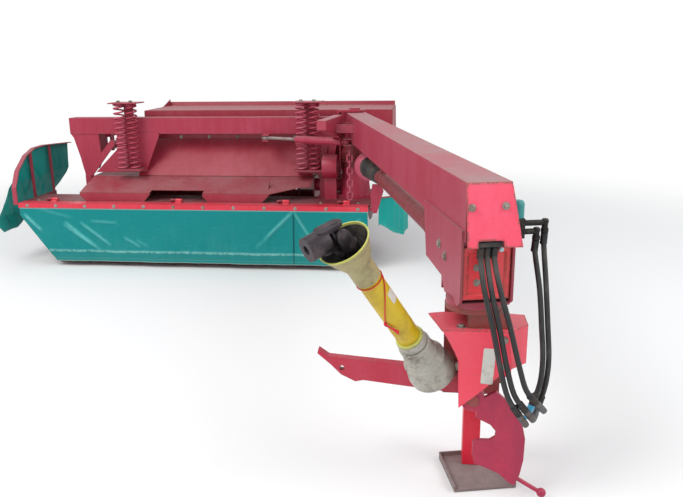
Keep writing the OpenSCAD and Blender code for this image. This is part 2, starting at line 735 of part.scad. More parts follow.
module front_curtain() {
    w = guard_w / 2;
    color("teal") along_y(sheet_t + seat, sheet_t + seat + curtain_t)
        polygon([[-w + 4, deck_z - sheet_t - seat], [w - 4, deck_z - sheet_t - seat], [w - 4, 330], [w - 190, curtain_z],
            [-w + 320, curtain_z], [-w + 4, deck_z - 120]]);
}

// Conditioner rotor: a tube with crossed tines, each pair turned on from the last
module rotor() {
    half = base_half_w - 50;
    pair_pitch = 2 * (half - 60) / (tine_count - 1);
    tip = tine_r - 26;
    color("darkred") {
        along_x(-half, half) translate([rotor_y, rotor_z]) difference() {
            circle(rotor_r);
            circle(rotor_r - 10);
        }
        for (s = [-1, 1]) along_x(s > 0 ? half - 14 : -half, s > 0 ? half : -half + 14)
            translate([rotor_y, rotor_z]) circle(rotor_r - 4);
        for (k = [0 : tine_count - 1]) translate([-half + 60 + k * pair_pitch - tine_t / 2, 0, 0])
            along_x(0, tine_t) translate([rotor_y, rotor_z]) rotate(52 * k) for (a = [0, 180]) rotate(a)
                polygon([[rotor_r - 8, -22], [tip, -30], [tine_r, -8], [tip + 6, 14], [rotor_r - 8, 22]]);
    }
    color("silver") for (s = [-1, 1]) along_x(s > 0 ? half - 20 : -base_half_w - end_t - 12,
        s > 0 ? base_half_w + end_t - 1 : -half + 20) translate([rotor_y, rotor_z]) circle(journal_r);
}

// Axle: a turning tube with two trailing arms, their stub axles and the lift lever
arm_x = wheel_x - 220;
lift_x = -1080;
lift_pin = [850, 1020];
lift_eye = [axle_y - 50, axle_z + 220];
lift_pin_r = 14;

module axle_arms() {
    color("firebrick") {
        along_x(-wheel_x - 20, wheel_x + 20) translate([axle_y, axle_z]) circle(axle_r);
        for (s = [-1, 1]) along_x(s > 0 ? arm_x - 40 : -arm_x - 40, s > 0 ? arm_x + 40 : -arm_x + 40)
            link([axle_y, axle_z], [wheel_y, tyre_r], axle_r + 22, 62);
        for (x = [lift_x - 40, lift_x + 24]) along_x(x, x + 16) link([axle_y, axle_z], lift_eye, axle_r + 14, 30);
    }
    color("silver") {
        for (s = [-1, 1]) along_x(s > 0 ? arm_x : -wheel_x - 60, s > 0 ? wheel_x + 60 : -arm_x)
            translate([wheel_y, tyre_r]) circle(stub_r);
        along_x(lift_x - 40, lift_x + 40) translate(lift_eye) circle(lift_pin_r);
    }
}

// Wheel: a dished rim on its hub, and the tyre with ribbed tread
module rim(x) {
    out = x > 0 ? 1 : -1;
    color("gainsboro") translate([x, wheel_y, tyre_r]) rotate([0, 90 * out, 0]) rotate_extrude() {
        polygon([[stub_r + fit, -70], [72, -70], [72, 34], [stub_r + fit, 34]]);
        polygon([[66, 10], [110, 30], [150, 30], [rim_r - 9, 4], [rim_r - 9, -6], [148, 20], [110, 20], [66, 0]]);
        polygon([[rim_r, -tyre_w / 2 + 30], [rim_r + 16, -tyre_w / 2 + 22], [rim_r + 16, -tyre_w / 2 + 14],
            [rim_r - 6, -tyre_w / 2 + 20], [rim_r - 14, -40], [rim_r - 14, 40], [rim_r - 6, tyre_w / 2 - 20],
            [rim_r + 16, tyre_w / 2 - 14], [rim_r + 16, tyre_w / 2 - 22], [rim_r, tyre_w / 2 - 30]]);
    }
}

module tyre(x) {
    h = tyre_w / 2;
    color("black") translate([x, wheel_y, tyre_r]) rotate([0, 90, 0]) rotate_extrude($fn = 64) difference() {
        polygon([[rim_r + seat, -h + 31], [rim_r + 24, -h + 26], [rim_r + 60, -h + 6], [rim_r + 110, -h],
            [tyre_r - 48, -h + 8], [tyre_r - 14, -h + 26], [tyre_r, -h + 52], [tyre_r, h - 52], [tyre_r - 14, h - 26],
            [tyre_r - 48, h - 8], [rim_r + 110, h], [rim_r + 60, h - 6], [rim_r + 24, h - 26], [rim_r + seat, h - 31]]);
        for (g = [-44, 0, 44]) translate([tyre_r - 12, g - 7]) square([20, 14]);
    }
}

// A cylinder's barrel from its pin towards the eye, in the pin's own frame along +X
module barrel_solid(l, r, bore, eye_w, rod_r) {
    rotate([0, 90, 0]) translate([0, 0, 46]) difference() {
        cylinder(h = l - 46, r = r);
        translate([0, 0, 30]) cylinder(h = l, r = rod_r + fit);
    }
    difference() {
        union() {
            translate([0, 0, -eye_w / 2]) cylinder(h = eye_w, r = bore + 14);
            translate([0, -16, -eye_w / 2 + 2]) cube([56, 32, eye_w - 4]);
        }
        translate([0, 0, -eye_w]) cylinder(h = 2 * eye_w, r = bore + fit);
    }
}

module rod_solid(l0, l, r, bore, eye_r, eye_w) {
    rotate([0, 90, 0]) translate([0, 0, l0]) cylinder(h = l - eye_r + 4 - l0, r = r);
    difference() {
        translate([l, 0, -eye_w / 2]) cylinder(h = eye_w, r = eye_r);
        translate([l, 0, -eye_w]) cylinder(h = 2 * eye_w, r = bore);
    }
}

// the lift cylinder lies in a plane across X, so its frame has Y along the pin's axis
module lift_frame() {
    d = lift_eye - lift_pin;
    translate([lift_x, lift_pin.x, lift_pin.y]) rotate([atan2(d.y, d.x), 0, 0]) rotate([90, 0, 90]) children();
}

lift_l = norm(lift_eye - lift_pin);

module lift_barrel() {
    color("firebrick") lift_frame() barrel_solid(540, 38, lift_pin_r, 40, 20);
}

module lift_rod() {
    color("silver") lift_frame() rod_solid(330, lift_l, 20, lift_pin_r + 16, 44, 26);
}

// Drawbar: a hollow box with a solid pivot end, drawn in its own frame with -Y forward
module drawbar_frame() {
    translate([pivot.x, pivot.y, 0]) rotate(drawbar_angle) children();
}

drawbar_h = drawbar_z1 - drawbar_z0;
cap_w = 35;

module drawbar() {
    w = drawbar_w / 2;
    color("crimson") drawbar_frame() difference() {
        union() {
            difference() {
                translate([-w, -drawbar_l, drawbar_z0]) cube([drawbar_w, drawbar_l, drawbar_h]);
                translate([-w + drawbar_wall, -drawbar_l - 1, drawbar_z0 + drawbar_wall])
                    cube([drawbar_w - 2 * drawbar_wall, drawbar_l - 119, drawbar_h - 2 * drawbar_wall]);
            }
            translate([0, 0, drawbar_z0]) cylinder(h = drawbar_h, r = w);
            // front cap: a plate that widens downwards on its right side, over the hoses' slot
            intersection() {
                along_y(-drawbar_l - 60, -drawbar_l + 10)
                    difference() {
                        polygon([[-w, drawbar_z0 - 12], [-w, drawbar_z1], [w - 10, drawbar_z1], [w, drawbar_z1 - 12],
                            [w + cap_w, drawbar_z0 - 12]]);
                        translate([-50, drawbar_z0 - 20]) square([100, 34]);
                    }
                along_x(-500, 500) polygon([[-drawbar_l, drawbar_z1], [-drawbar_l - 6, drawbar_z1 - 4],
                    [-drawbar_l - 50, drawbar_z0 - 12], [-drawbar_l - 42, drawbar_z0 - 12], [-drawbar_l + 6, drawbar_z1]]);
            }
        }
        translate([0, 0, drawbar_z0 - 1]) cylinder(h = drawbar_h + 2, r = pivot_r + fit);
    }
    // the front hoses' clamp in the slot
    color("dimgray") drawbar_frame() translate([-48, -drawbar_l - 36, drawbar_z0 - 12]) cube([96, 36, 20]);
}

// Swing lever: a short box beside the drawbar's rear end, with the cylinder's clevis under it
lever_a = [1352, 205];
lever_b = [1292, -420];
lever_w = 76;
swing_pin = [1440, 70];
swing_eye = [650, 400];
swing_pin_r = 15;
swing_z = beam_z0 - 31;
lever_z0 = drawbar_z0 + 55;
clevis_z0 = swing_z - 31;

module swing_lever() {
    color("crimson") {
        difference() {
            lever_body(0);
            lever_body(8);
        }
        // stays across to the drawbar's side
        for (y = [150, -60]) translate([0, 0, drawbar_z0 + 100]) linear_extrude(70)
            polygon([[lever_side(y), y], [drawbar_side(y) - 0.5, y], [drawbar_side(y - 16) - 0.5, y - 16],
                [lever_side(y - 16), y - 16]]);
        // clevis at the drawbar's side that holds the swing cylinder's barrel, with the chain's tab
        for (z = [clevis_z0, clevis_z0 + 50]) translate([0, 0, z]) linear_extrude(12) {
            translate(swing_pin) circle(34);
            polygon([[swing_pin.x, swing_pin.y - 34], [drawbar_side(36) - 0.5, swing_pin.y - 34],
                [drawbar_side(104) - 0.5, swing_pin.y + 34], [swing_pin.x, swing_pin.y + 34]]);
        }
        translate([0, 0, clevis_z0]) linear_extrude(12) polygon([[swing_pin.x, swing_pin.y],
            [drawbar_side(36) + 60, swing_pin.y - 34], [drawbar_side(180) + 30, 185], [chain_at.x - 18, 185]]);
        translate([0, 0, clevis_z0 + 12]) linear_extrude(drawbar_z0 - clevis_z0 - 12) polygon([
            [drawbar_side(36) + 4, 36], [drawbar_side(36) + 60, 36], [drawbar_side(180) + 30, 180],
            [drawbar_side(180) + 4, 180]]);
    }
    color("silver") translate([swing_pin.x, swing_pin.y, clevis_z0 - 4]) cylinder(h = 70, r = swing_pin_r);
}

// the lever's box tapers towards its free end; drawn again, smaller by its wall, as its hollow
module lever_body(wall) {
    intersection() {
        translate([0, 0, lever_z0 + wall]) linear_extrude(drawbar_z1 - 5 - lever_z0 - 2 * wall)
            folded_bar(lever_a - [0, wall], lever_b + [0, wall], lever_w - 2 * wall);
        along_x(lever_b.x - 100, lever_a.x + 100) polygon([[lever_a.y + 50, lever_z0 + wall],
            [90, lever_z0 + wall], [lever_b.y - 50, drawbar_z1 - 70 + wall], [lever_b.y - 50, drawbar_z1],
            [lever_a.y + 50, drawbar_z1]]);
    }
}

// the lever's right side and the drawbar's left side, as X at a place along Y
function lever_side(y) = lever_a.x + (y - lever_a.y) * (lever_b.x - lever_a.x) / (lever_b.y - lever_a.y) + lever_w / 2 - 3;
function drawbar_side(y) = pivot.x + (pivot.y - y) * tan(drawbar_angle) - drawbar_w / 2 / cos(drawbar_angle);

module folded_bar(a, b, w) {
    d = b - a;
    translate(a) rotate(atan2(d.y, d.x)) translate([0, -w / 2]) square([norm(d), w]);
}

// Neck under the drawbar's front: side plates, a recessed front plate and the swivel's upper ring
module neck() {
    w = drawbar_w / 2;
    l = -drawbar_l;
    ring_z = swivel_z + ring_t + seat;
    side = [[l + 665, drawbar_z0 + 45], [l + 600, 940], [l + 310, 930], [l + 250, ring_z],
        [l + 50, ring_z], [l + 10, 900], [l + 10, drawbar_z0 + 45]];
    color("crimson") drawbar_frame() {
        along_x(-w - 10, -w - seat) polygon(side);
        along_x(w + 18, w + 28) polygon(side);
        along_x(w + seat, w + 20) polygon([[l + 665, drawbar_z0 + 30], [l + 665, drawbar_z0 + 45],
            [l + 10, drawbar_z0 + 45], [l + 10, drawbar_z0 + 30]]);
        along_y(l + 30, l + 42) polygon([[-w - 5, 905], [w + 20, 905], [w + 20, drawbar_z0 - seat],
            [-w - 5, drawbar_z0 - seat]]);
        translate([-w - 5, l + 32, ring_z + 2]) cube([drawbar_w + 28, 246, 14]);
        along_y(l + 310, l + 322) polygon([[-w - 5, 870], [w + 20, 870], [w + 20, drawbar_z0 - seat],
            [-w - 5, drawbar_z0 - seat]]);
    }
    color("saddlebrown") translate([swivel.x, swivel.y, swivel_z + seat]) difference() {
        cylinder(h = ring_t + 5, r = ring_r);
        translate([0, 0, -1]) cylinder(h = ring_t + 8, r = swivel_r + fit);
    }
}

ring_t = 20;

// Drive line under the drawbar: clutch guard, joint guard and cover tube, hung from lugs
drive_u = 25;
drive_z = 985;
drive_v1 = 322 - drawbar_l + seat;

module drive_line() {
    color("crimson") drawbar_frame() {
        translate([drive_u, 0, drive_z]) rotate([90, 0, 0]) {
            translate([0, 0, 1290]) cylinder(h = -drive_v1 - 1290, r = drive_r);
            cylinder(h = 645, r = 46);
            rotate_extrude() polygon([[0, 640], [66, 640], [110, 662], [120, 690], [120, 728], [106, 768],
                [88, 790], [0, 790]]);
        }
        for (v = [-1400, 950 - drawbar_l]) translate([drive_u - 20, v - 30, drive_z + drive_r - 6])
            cube([40, 60, drawbar_z0 - drive_z - drive_r + 6 - seat]);
        // upper gearbox on the pivot's axis, turning with the drawbar
        translate([0, 0, gear_z1 + seat]) cylinder(h = drawbar_z0 - fork_gap - fork_t - gear_z1 - 10, r = 125);
        translate([drive_u - 30, -300, drive_z + 30]) cube([60, 100, drawbar_z0 - drive_z - 30 - seat]);
    }
    color("dimgray") drawbar_frame() translate([drive_u, -785, drive_z]) rotate([90, 0, 0])
        cylinder(h = 515, r1 = 92, r2 = 60);
}

// Swing cylinder: the barrel is pinned under the drawbar's side, the rod at the beam
module swing_frame() {
    d = swing_eye - swing_pin;
    translate([swing_pin.x, swing_pin.y, swing_z]) rotate(atan2(d.y, d.x)) children();
}

swing_l = norm(swing_eye - swing_pin);

module swing_barrel() {
    color("indianred") swing_frame() barrel_solid(520, 33, swing_pin_r, 30, 16);
}

module swing_rod() {
    color("silver") swing_frame() rod_solid(340, swing_l, 16, swing_pin_r + 10, 38, 26);
}

// Headstock under the swivel: lower ring, bevel gearbox and the back plate with the stand's sleeve.
// Its pieces, the hitch, the stand and the hoses are drawn from the swivel's axis on the ground.
head_front = -90;
head_back = 105;
gear_x = [-24, 136];
gear_z = 530;
stand_at = [24, 160];
sleeve_z = [400, 520];
head_pin = [6, 455];

module head_frame() {
    translate([swivel.x, swivel.y, 0]) children();
}

module head_gearbox() {
    color("saddlebrown") head_frame() {
        translate([0, 0, swivel_z - ring_t]) cylinder(h = ring_t, r = ring_r);
        translate([0, 0, swivel_z - 1]) cylinder(h = ring_t + 1, r = swivel_r);
    }
    color("crimson") head_frame() {
        translate([gear_x[0], head_front, gear_z])
            cube([gear_x[1] - gear_x[0], head_back - head_front, swivel_z - ring_t - gear_z]);
        translate([gear_x[0] - 90, head_back - 5, 385]) cube([gear_x[1] - gear_x[0] + 90, 12, 440]);
        difference() {
            translate([stand_at.x - leg_w / 2 - 10, stand_at.y - leg_w / 2 - 10, sleeve_z[0]])
                cube([leg_w + 20, leg_w + 20, sleeve_z[1] - sleeve_z[0]]);
            translate([stand_at.x - leg_w / 2 - 0.5, stand_at.y - leg_w / 2 - 0.5, sleeve_z[0] - 1])
                cube([leg_w + 1, leg_w + 1, 200]);
        }
        // the output's short stub
        along_x(-140, gear_x[0] + 1) translate([0, gear_z]) circle(22);
    }
    color("crimson") pto_frame() translate([0, 0, -50]) cylinder(h = 49, r = 34);
    color("silver") head_frame() along_y(head_front - 25, head_back) translate(head_pin) circle(hitch_pin_r);
}

// Guard: a folded plate over the gearbox, with a cut-out beside the drive shaft
module head_guard() {
    z1 = 770;
    y = head_front - 32;
    color("indianred") head_frame() {
        difference() {
            translate([0, 0, z1 - guard_t]) linear_extrude(guard_t) polygon([[-184, 80], [-129, y], [138, y],
                [226, -30], [226, 90], [156, 100], [-124, 100]]);
            translate([gear_x[0], head_front, z1 - 50]) cube([gear_x[1] - gear_x[0], 260, 100]);
        }
        along_y(y, y + guard_t) polygon([[-129, z1], [138, z1], [154, 640], [154, 575], [106, 575], [38, 505],
            [-54, 425], [-62, 640], [-84, 690]]);
        translate([138, y, 0]) rotate(46) translate([0, 0, 600]) cube([126, guard_t, z1 - 600]);
        // lugs that carry the guard on the gearbox
        for (x = [-14, 86]) translate([x, y + guard_t - 1, 700]) cube([40, head_front - y - guard_t + 1, 30]);
    }
}

// Drive shaft: its frame has +Z along the shaft, from the gearbox up to the free end
module pto_frame() {
    translate(pto_base) rotate([0, 90 - pto_angle, pto_turn]) children();
}

module pto_cone() {
    neck = pto_tube_r + seat;
    color("lightgray") pto_frame() rotate_extrude() polygon([[98, 0], [106, 0], [106, 30], [90, 95], [72, 135],
        [66, 212], [neck, 212], [neck, 200], [60, 196], [65, 135], [83, 92], [98, 28]]);
    // bracket on the gearbox's face
    color("dimgray") head_frame() translate([gear_x[0] - 50, -56, 565]) cube([50 - seat, 30, 27]);
}

module pto_guard() {
    color("gold") pto_frame() {
        rotate_extrude() polygon([[pto_shaft_r + 10, 190], [pto_tube_r, 190],
            [pto_tube_r, pto_l - 110], [pto_tube_r + 22, pto_l - 80], [98, pto_l - 14], [104, pto_l],
            [98, pto_l], [92, pto_l - 14], [pto_tube_r + 16, pto_l - 74], [pto_tube_r - 5, pto_l - 104],
            [pto_tube_r - 5, 200], [pto_shaft_r + 10, 200]]);
        rotate_extrude() polygon([[pto_shaft_r + fit, pto_l - 170], [pto_tube_r - 3, pto_l - 170],
            [pto_tube_r - 3, pto_l - 150], [pto_shaft_r + fit, pto_l - 150]]);
    }
}

// Universal joint at the free end: inner yoke, cross and outer yoke
module yoke(z0, z1, turn, up) {
    rotate(turn) difference() {
        union() {
            for (s = [-1, 1]) along_x(s > 0 ? 30 : -46, s > 0 ? 46 : -30)
                link([0, up > 0 ? z0 + 14 : z1 - 14], [0, up > 0 ? z1 : z0], 30, 27);
            translate([0, 0, up > 0 ? z0 : z1 - 22]) cylinder(h = 22, r = 46);
        }
        along_x(-60, 60) translate([0, up > 0 ? z1 : z0]) circle(13);
    }
}

module pto_yoke() {
    color("dimgray") pto_frame() {
        translate([0, 0, 1]) cylinder(h = pto_l - 40, r = pto_shaft_r);
        rotate(joint_turn) {
            yoke(pto_l - 42, cross_z, 90, 1);
            translate([0, -47, cross_z]) rotate([-90, 0, 0]) cylinder(h = 94, r = 13);
            translate([0, 0, cross_z]) rotate([0, joint_bend, 0]) {
                yoke(0, socket_z + 22, 0, -1);
                translate([-47, 0, 0]) rotate([0, 90, 0]) cylinder(h = 94, r = 13);
                translate([0, 0, socket_z]) difference() {
                    cylinder(h = socket_l, r = socket_r);
                    translate([0, 0, 15]) cylinder(h = socket_l, r = 18);
                }
            }
        }
    }
}

// Hitch member: a hub on the headstock's pin with the pointed left arm, and the hooked right arm on
// the same pin, with its locking pin and knob
arm_out = [[6, 400], [6, 512], [-150, 520], [-294, 534], [-504, 550], [-624, 560], [-669, 592],
    [-674, 572], [-614, 520], [-569, 474], [-504, 442], [-469, 450], [-284, 430]];
hook_out = [[21, 450], [101, 500], [166, 440], [208, 380], [228, 290], [226, 190], [214, 120], [194, 66],
    [166, 80], [126, 118], [56, 150], [21, 160], [11, 200], [11, 262], [28, 272], [81, 274], [104, 290],
    [106, 318], [81, 348], [21, 378]];
hook_t = 20;
hub_r = hitch_pin_r + 26;

module hitch_bar() {
    color("crimson") head_frame() difference() {
        union() {
            along_y(head_front + seat, head_back - 9) translate(head_pin) circle(hub_r);
            along_y(head_back - 9 - hitch_t, head_back - 10) polygon(arm_out);
        }
        along_y(head_front - 30, head_back + 20) translate(head_pin) circle(hitch_pin_r + fit);
        along_y(head_front - 30, head_back + 20) translate([-564, 505]) circle(12);
    }
}

module hitch_hook() {
    color("crimson") head_frame() {
        difference() {
            along_y(head_front - hook_t, head_front) {
                polygon(hook_out);
                translate(head_pin) circle(hub_r - 1);
            }
            along_y(head_front - 40, head_front + 20) translate(head_pin) circle(hitch_pin_r + fit);
        }
        rod([204, head_front - 5, 92], [302, head_front - 30, 46], 9);
    }
    color("red") head_frame() translate([knob_x - swivel.x - knob_r, head_front - 30, 45]) sphere(knob_r, $fn = 24);
}

// Parking stand: a square leg in the headstock's sleeve, and its foot
module stand_leg() {
    color("crimson") head_frame() translate([stand_at.x - leg_w / 2, stand_at.y - leg_w / 2, foot_t]) difference() {
        cube([leg_w, leg_w, sleeve_z[1] - foot_t]);
        translate([leg_wall, leg_wall, -1]) cube([leg_w - 2 * leg_wall, leg_w - 2 * leg_wall, sleeve_z[1]]);
    }
}

// the foot's middle lies in front of the leg
foot_at = [48, 80, 0];

module stand_foot() {
    color("rosybrown") head_frame() translate(foot_at) rotate(drawbar_angle) difference() {
        translate([-foot_w / 2, -foot_w / 2, 0]) cube([foot_w, foot_w, 34]);
        translate([-foot_w / 2 + 6, -foot_w / 2 - 1, foot_t]) cube([foot_w - 12, foot_w - 5, 40]);
    }
}

// Hoses: three out of the slot under the cap, two down from the tap block's elbows
hose_r = 11;
hose_routes = [
    [[9, -173, 1136], [9, -174, 1085], [24, -231, 975], [60, -258, 830], [94, -266, 670], [128, -260, 550],
        [176, -246, 470]],
    [[34, -167, 1136], [34, -168, 1085], [50, -227, 975], [85, -254, 830], [119, -263, 674], [153, -257, 560],
        [202, -240, 486]],
    [[62, -161, 1136], [62, -162, 1085], [84, -224, 978], [124, -250, 840], [166, -258, 680], [198, -250, 580],
        [242, -232, 520]],
    [[271, -7, 1158], [271, -9, 1105], [279, -66, 965], [288, -118, 800], [297, -136, 665], [291, -136, 555],
        [266, -144, 460]],
    [[237, -15, 1128], [237, -17, 1075], [254, -78, 940], [264, -124, 790], [273, -138, 670], [266, -152, 566],
        [236, -172, 480]]];

module hose(i) {
    color("black") head_frame() swept(curve(hose_routes[i], 4), hose_r, 8);
}

// Tap block on the neck's side, with its cap and the elbows of the two outer hoses
module hose_valve() {
    u = drawbar_w / 2 + 28;
    v = 95 - drawbar_l;
    color("dimgray") drawbar_frame() {
        translate([u + seat, v - 30, 1140]) cube([56, 60, 82]);
        for (e = [[144, 1200, 1160], [110, 1165, 1130]]) {
            translate([u + 50, v - 10, e[1]]) rotate([0, 90, 0]) cylinder(h = e[0] - 40, r = 12);
            translate([u + e[0], v - 10, e[2]]) cylinder(h = e[1] - e[2] + 16, r = 15);
        }
    }
    color("darkturquoise") drawbar_frame() translate([u + 28, v, 1222]) cylinder(h = 70, r = 30);
}

module hose_ends() {
    color("deepskyblue") head_frame() for (route = hose_routes) {
        n = len(route);
        d = (route[n - 1] - route[n - 2]) / norm(route[n - 1] - route[n - 2]);
        rod(route[n - 1] + 0.8 * d, route[n - 1] + 60 * d, 14);
    }
}

place() {
    cutterbar();
    deck();
    hood_base();
    hood();
    main_beam();
    left_leg();
    right_leg();
    shaft_cover();
    spring_brackets();
    springs_left();
    springs_right();
    pivot_fork();
    rear_rails();
    lower_gearbox();
    safety_chain();
    side_arch();
    canvas_left();
    canvas_right();
    curtain_bracket();
    swath_boards();
    guard_lip();
    front_curtain();
    rotor();
    for (i = [0 : 7]) disc(i);
    axle_arms();
    rim(-wheel_x);  // rim_left
    tyre(-wheel_x);  // tyre_left
    rim(wheel_x);  // rim_right
    tyre(wheel_x);  // tyre_right
    lift_barrel();
    lift_rod();
    drawbar();
    swing_lever();
    neck();
    drive_line();
    swing_barrel();
    swing_rod();
    head_gearbox();
    head_guard();
    pto_cone();
    pto_guard();
    pto_yoke();
    hitch_bar();
    hitch_hook();
    stand_leg();
    stand_foot();
    hose_valve();
    for (i = [0 : 4]) hose(i);
    hose_ends();
}
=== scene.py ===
import math

import bpy
import numpy as np
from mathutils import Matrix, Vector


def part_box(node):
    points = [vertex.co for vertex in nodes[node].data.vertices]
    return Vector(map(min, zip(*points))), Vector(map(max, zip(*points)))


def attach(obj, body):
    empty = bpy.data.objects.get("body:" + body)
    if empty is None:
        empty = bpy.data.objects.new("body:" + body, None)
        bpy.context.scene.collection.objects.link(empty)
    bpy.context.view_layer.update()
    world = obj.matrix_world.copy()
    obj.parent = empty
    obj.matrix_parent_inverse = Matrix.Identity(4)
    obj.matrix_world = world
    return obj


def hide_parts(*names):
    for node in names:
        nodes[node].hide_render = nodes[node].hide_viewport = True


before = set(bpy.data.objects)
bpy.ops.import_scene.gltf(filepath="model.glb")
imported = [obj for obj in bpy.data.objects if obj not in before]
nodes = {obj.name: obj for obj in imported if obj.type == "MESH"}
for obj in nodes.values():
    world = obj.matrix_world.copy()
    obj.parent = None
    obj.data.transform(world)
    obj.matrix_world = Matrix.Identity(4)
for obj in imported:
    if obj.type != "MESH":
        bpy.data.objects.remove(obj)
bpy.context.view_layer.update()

# Every place below is measured in metres from the middle of the front lip, on the ground, as on the
# machine's drawing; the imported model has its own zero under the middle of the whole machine.
lip_low, lip_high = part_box("guard_lip")
lip_middle = np.array(((lip_low[0] + lip_high[0]) / 2, lip_low[1], 0.0))

# The camera stands at a grown person's eye height, a step to the right of the drawbar's end, and looks
# down past it at the mower's front.
eye = (2.108, -6.029, 1.83)
heading, pitch, roll = np.radians((6.776, 14.86, -0.7))
focal_px, picture_px = 703, 683

side = np.array((math.cos(heading), math.sin(heading), 0))
level = np.array((-math.sin(heading), math.cos(heading), 0))
ahead = level * math.cos(pitch) - (0, 0, math.sin(pitch))
over = np.cross(side, ahead)
stand = np.eye(4)
stand[:3, 0] = math.cos(roll) * side + math.sin(roll) * over
stand[:3, 1] = math.cos(roll) * over - math.sin(roll) * side
stand[:3, 2] = -ahead
stand[:3, 3] = lip_middle + eye
camera = bpy.data.objects.new("camera", bpy.data.cameras.new("camera"))
camera.data.sensor_width = 36
camera.data.lens = camera.data.sensor_width * focal_px / picture_px
camera.matrix_world = stand.T
bpy.context.scene.collection.objects.link(camera)
bpy.context.scene.camera = camera


# Hydraulic hoses: five black rubber hoses on a wire braid, three out of the slot in the drawbar's cap
# and two from the tap's elbows on its right side. Each is crimped in a ferrule at both ends, and hangs
# free beside the headstock.
drawbar_turn = math.radians(13)
pivot = np.array((1.470, 0.500, 0))


def on_bar(places):
    """Places on the drawbar, u to its right, v along it from its pivot and z, in the machine's frame."""
    u, v, z = np.moveaxis(np.asarray(places, float), -1, 0)
    c, s = math.cos(drawbar_turn), math.sin(drawbar_turn)
    return np.stack((pivot[0] + u * c - v * s, pivot[1] + u * s + v * c, z), -1)


swivel_v = -3.797
swivel = on_bar((0, swivel_v, 0))


def routed(stops, steps=4):
    """A Catmull-Rom line through the stops: between two of them it is the cubic whose slope at each is
    half of the way from the stop before it to the stop after it."""
    p = np.asarray(stops, float)
    p = np.vstack((p[:1], p, p[-1:]))
    u = np.arange(steps)[:, None] / steps
    a, b, c, d = (p[k:len(p) - 3 + k, None] for k in range(4))
    line = b + ((c - a) * u + (2 * a - 5 * b + 4 * c - d) * u**2 + (3 * b - a - 3 * c + d) * u**3) / 2
    return np.vstack((line.reshape(-1, 3), p[-1:]))


def distances(line):
    """How far along a line each of its points is: the lengths of its stretches, added up from its start."""
    return np.concatenate(([0], np.cumsum(np.linalg.norm(np.diff(line, axis=0), axis=1))))


def tube(path, radius, sides=16, start=(0.31, 0.17, 0.94), closed=False):
    """A round skin along a path: at each point a circle of the radius given there, in the plane across
    the path, turned so that it doesn't twist from one point to the next. Both ends are closed flat,
    unless the path is closed."""
    path = np.asarray(path, float)
    radius = np.broadcast_to(radius, len(path))
    run = np.roll(path, -1, 0) - np.roll(path, 1, 0) if closed else np.gradient(path, axis=0)
    run /= np.linalg.norm(run, axis=1)[:, None]
    up = np.asarray(start, float)
    first = np.empty_like(run)
    for k, t in enumerate(run):
        up = up - t * (up @ t)
        up = up / np.linalg.norm(up)
        first[k] = up
    second = np.cross(run, first)
    turn = 2 * np.pi * np.arange(sides) / sides
    ring = first[:, None] * np.cos(turn)[:, None] + second[:, None] * np.sin(turn)[:, None]
    points = path[:, None] + ring * radius[:, None, None]
    lay = np.stack(np.broadcast_arrays(turn / (2 * np.pi), distances(path)[:, None], 0.0), -1)
    return skin(points, lay, around=True, caps=not closed, loop=closed)


def skin(points, lay=None, around=False, caps=False, flip=False, loop=False):
    """A grid of points made a skin of four-sided faces, each between four neighbours in the grid. Around
    joins a row's last point to its first, loop the last row to the first; caps close the end rows, and
    flip turns the faces over. Lay is three numbers for each point, for the finish's patterns."""
    rows, cols = points.shape[:2]
    n = np.arange(rows * cols).reshape(rows, cols)
    m = np.hstack((n, n[:, :1])) if around else n
    m = np.vstack((m, m[:1])) if loop else m
    faces = np.stack((m[:-1, :-1], m[:-1, 1:], m[1:, 1:], m[1:, :-1]), -1).reshape(-1, 4).tolist()
    if caps:
        faces += [n[0, ::-1].tolist(), n[-1].tolist()]
    if flip:
        faces = [face[::-1] for face in faces]
    if lay is None:
        lay = np.stack((*np.meshgrid(np.arange(rows), np.arange(cols), indexing="ij"), n * 0), -1) * 1.0
    return points.reshape(-1, 3), faces, lay.reshape(-1, 3)


def build(name, parts, finish, body, smooth=True, stands_for=()):
    """Puts skins into one mesh object that rides on a body: their points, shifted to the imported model's
    zero, their faces, and lay. Where faces meet at more than 32 degrees the edge is sharp."""
    count = np.cumsum([0] + [len(part[0]) for part in parts])
    mesh = bpy.data.meshes.new(name)
    places = np.vstack([part[0] for part in parts]) + lip_middle
    faces = [[n + start for n in face] for part, start in zip(parts, count.tolist()) for face in part[1]]
    mesh.from_pydata(places.tolist(), [], faces)
    mesh.attributes.new("lay", "FLOAT_VECTOR", "POINT")
    mesh.attributes["lay"].data.foreach_set("vector", np.vstack([part[2] for part in parts]).ravel())
    sizes = np.fromiter(map(len, faces), int, len(faces))
    mesh.polygons.foreach_set("use_smooth", (sizes < 5) & smooth)
    mesh.set_sharp_from_angle(angle=math.radians(32))
    mesh.materials.append(finish)
    piece = bpy.data.objects.new(name, mesh)
    bpy.context.scene.collection.objects.link(piece)
    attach(piece, body)
    if stands_for:
        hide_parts(*stands_for)
    return piece


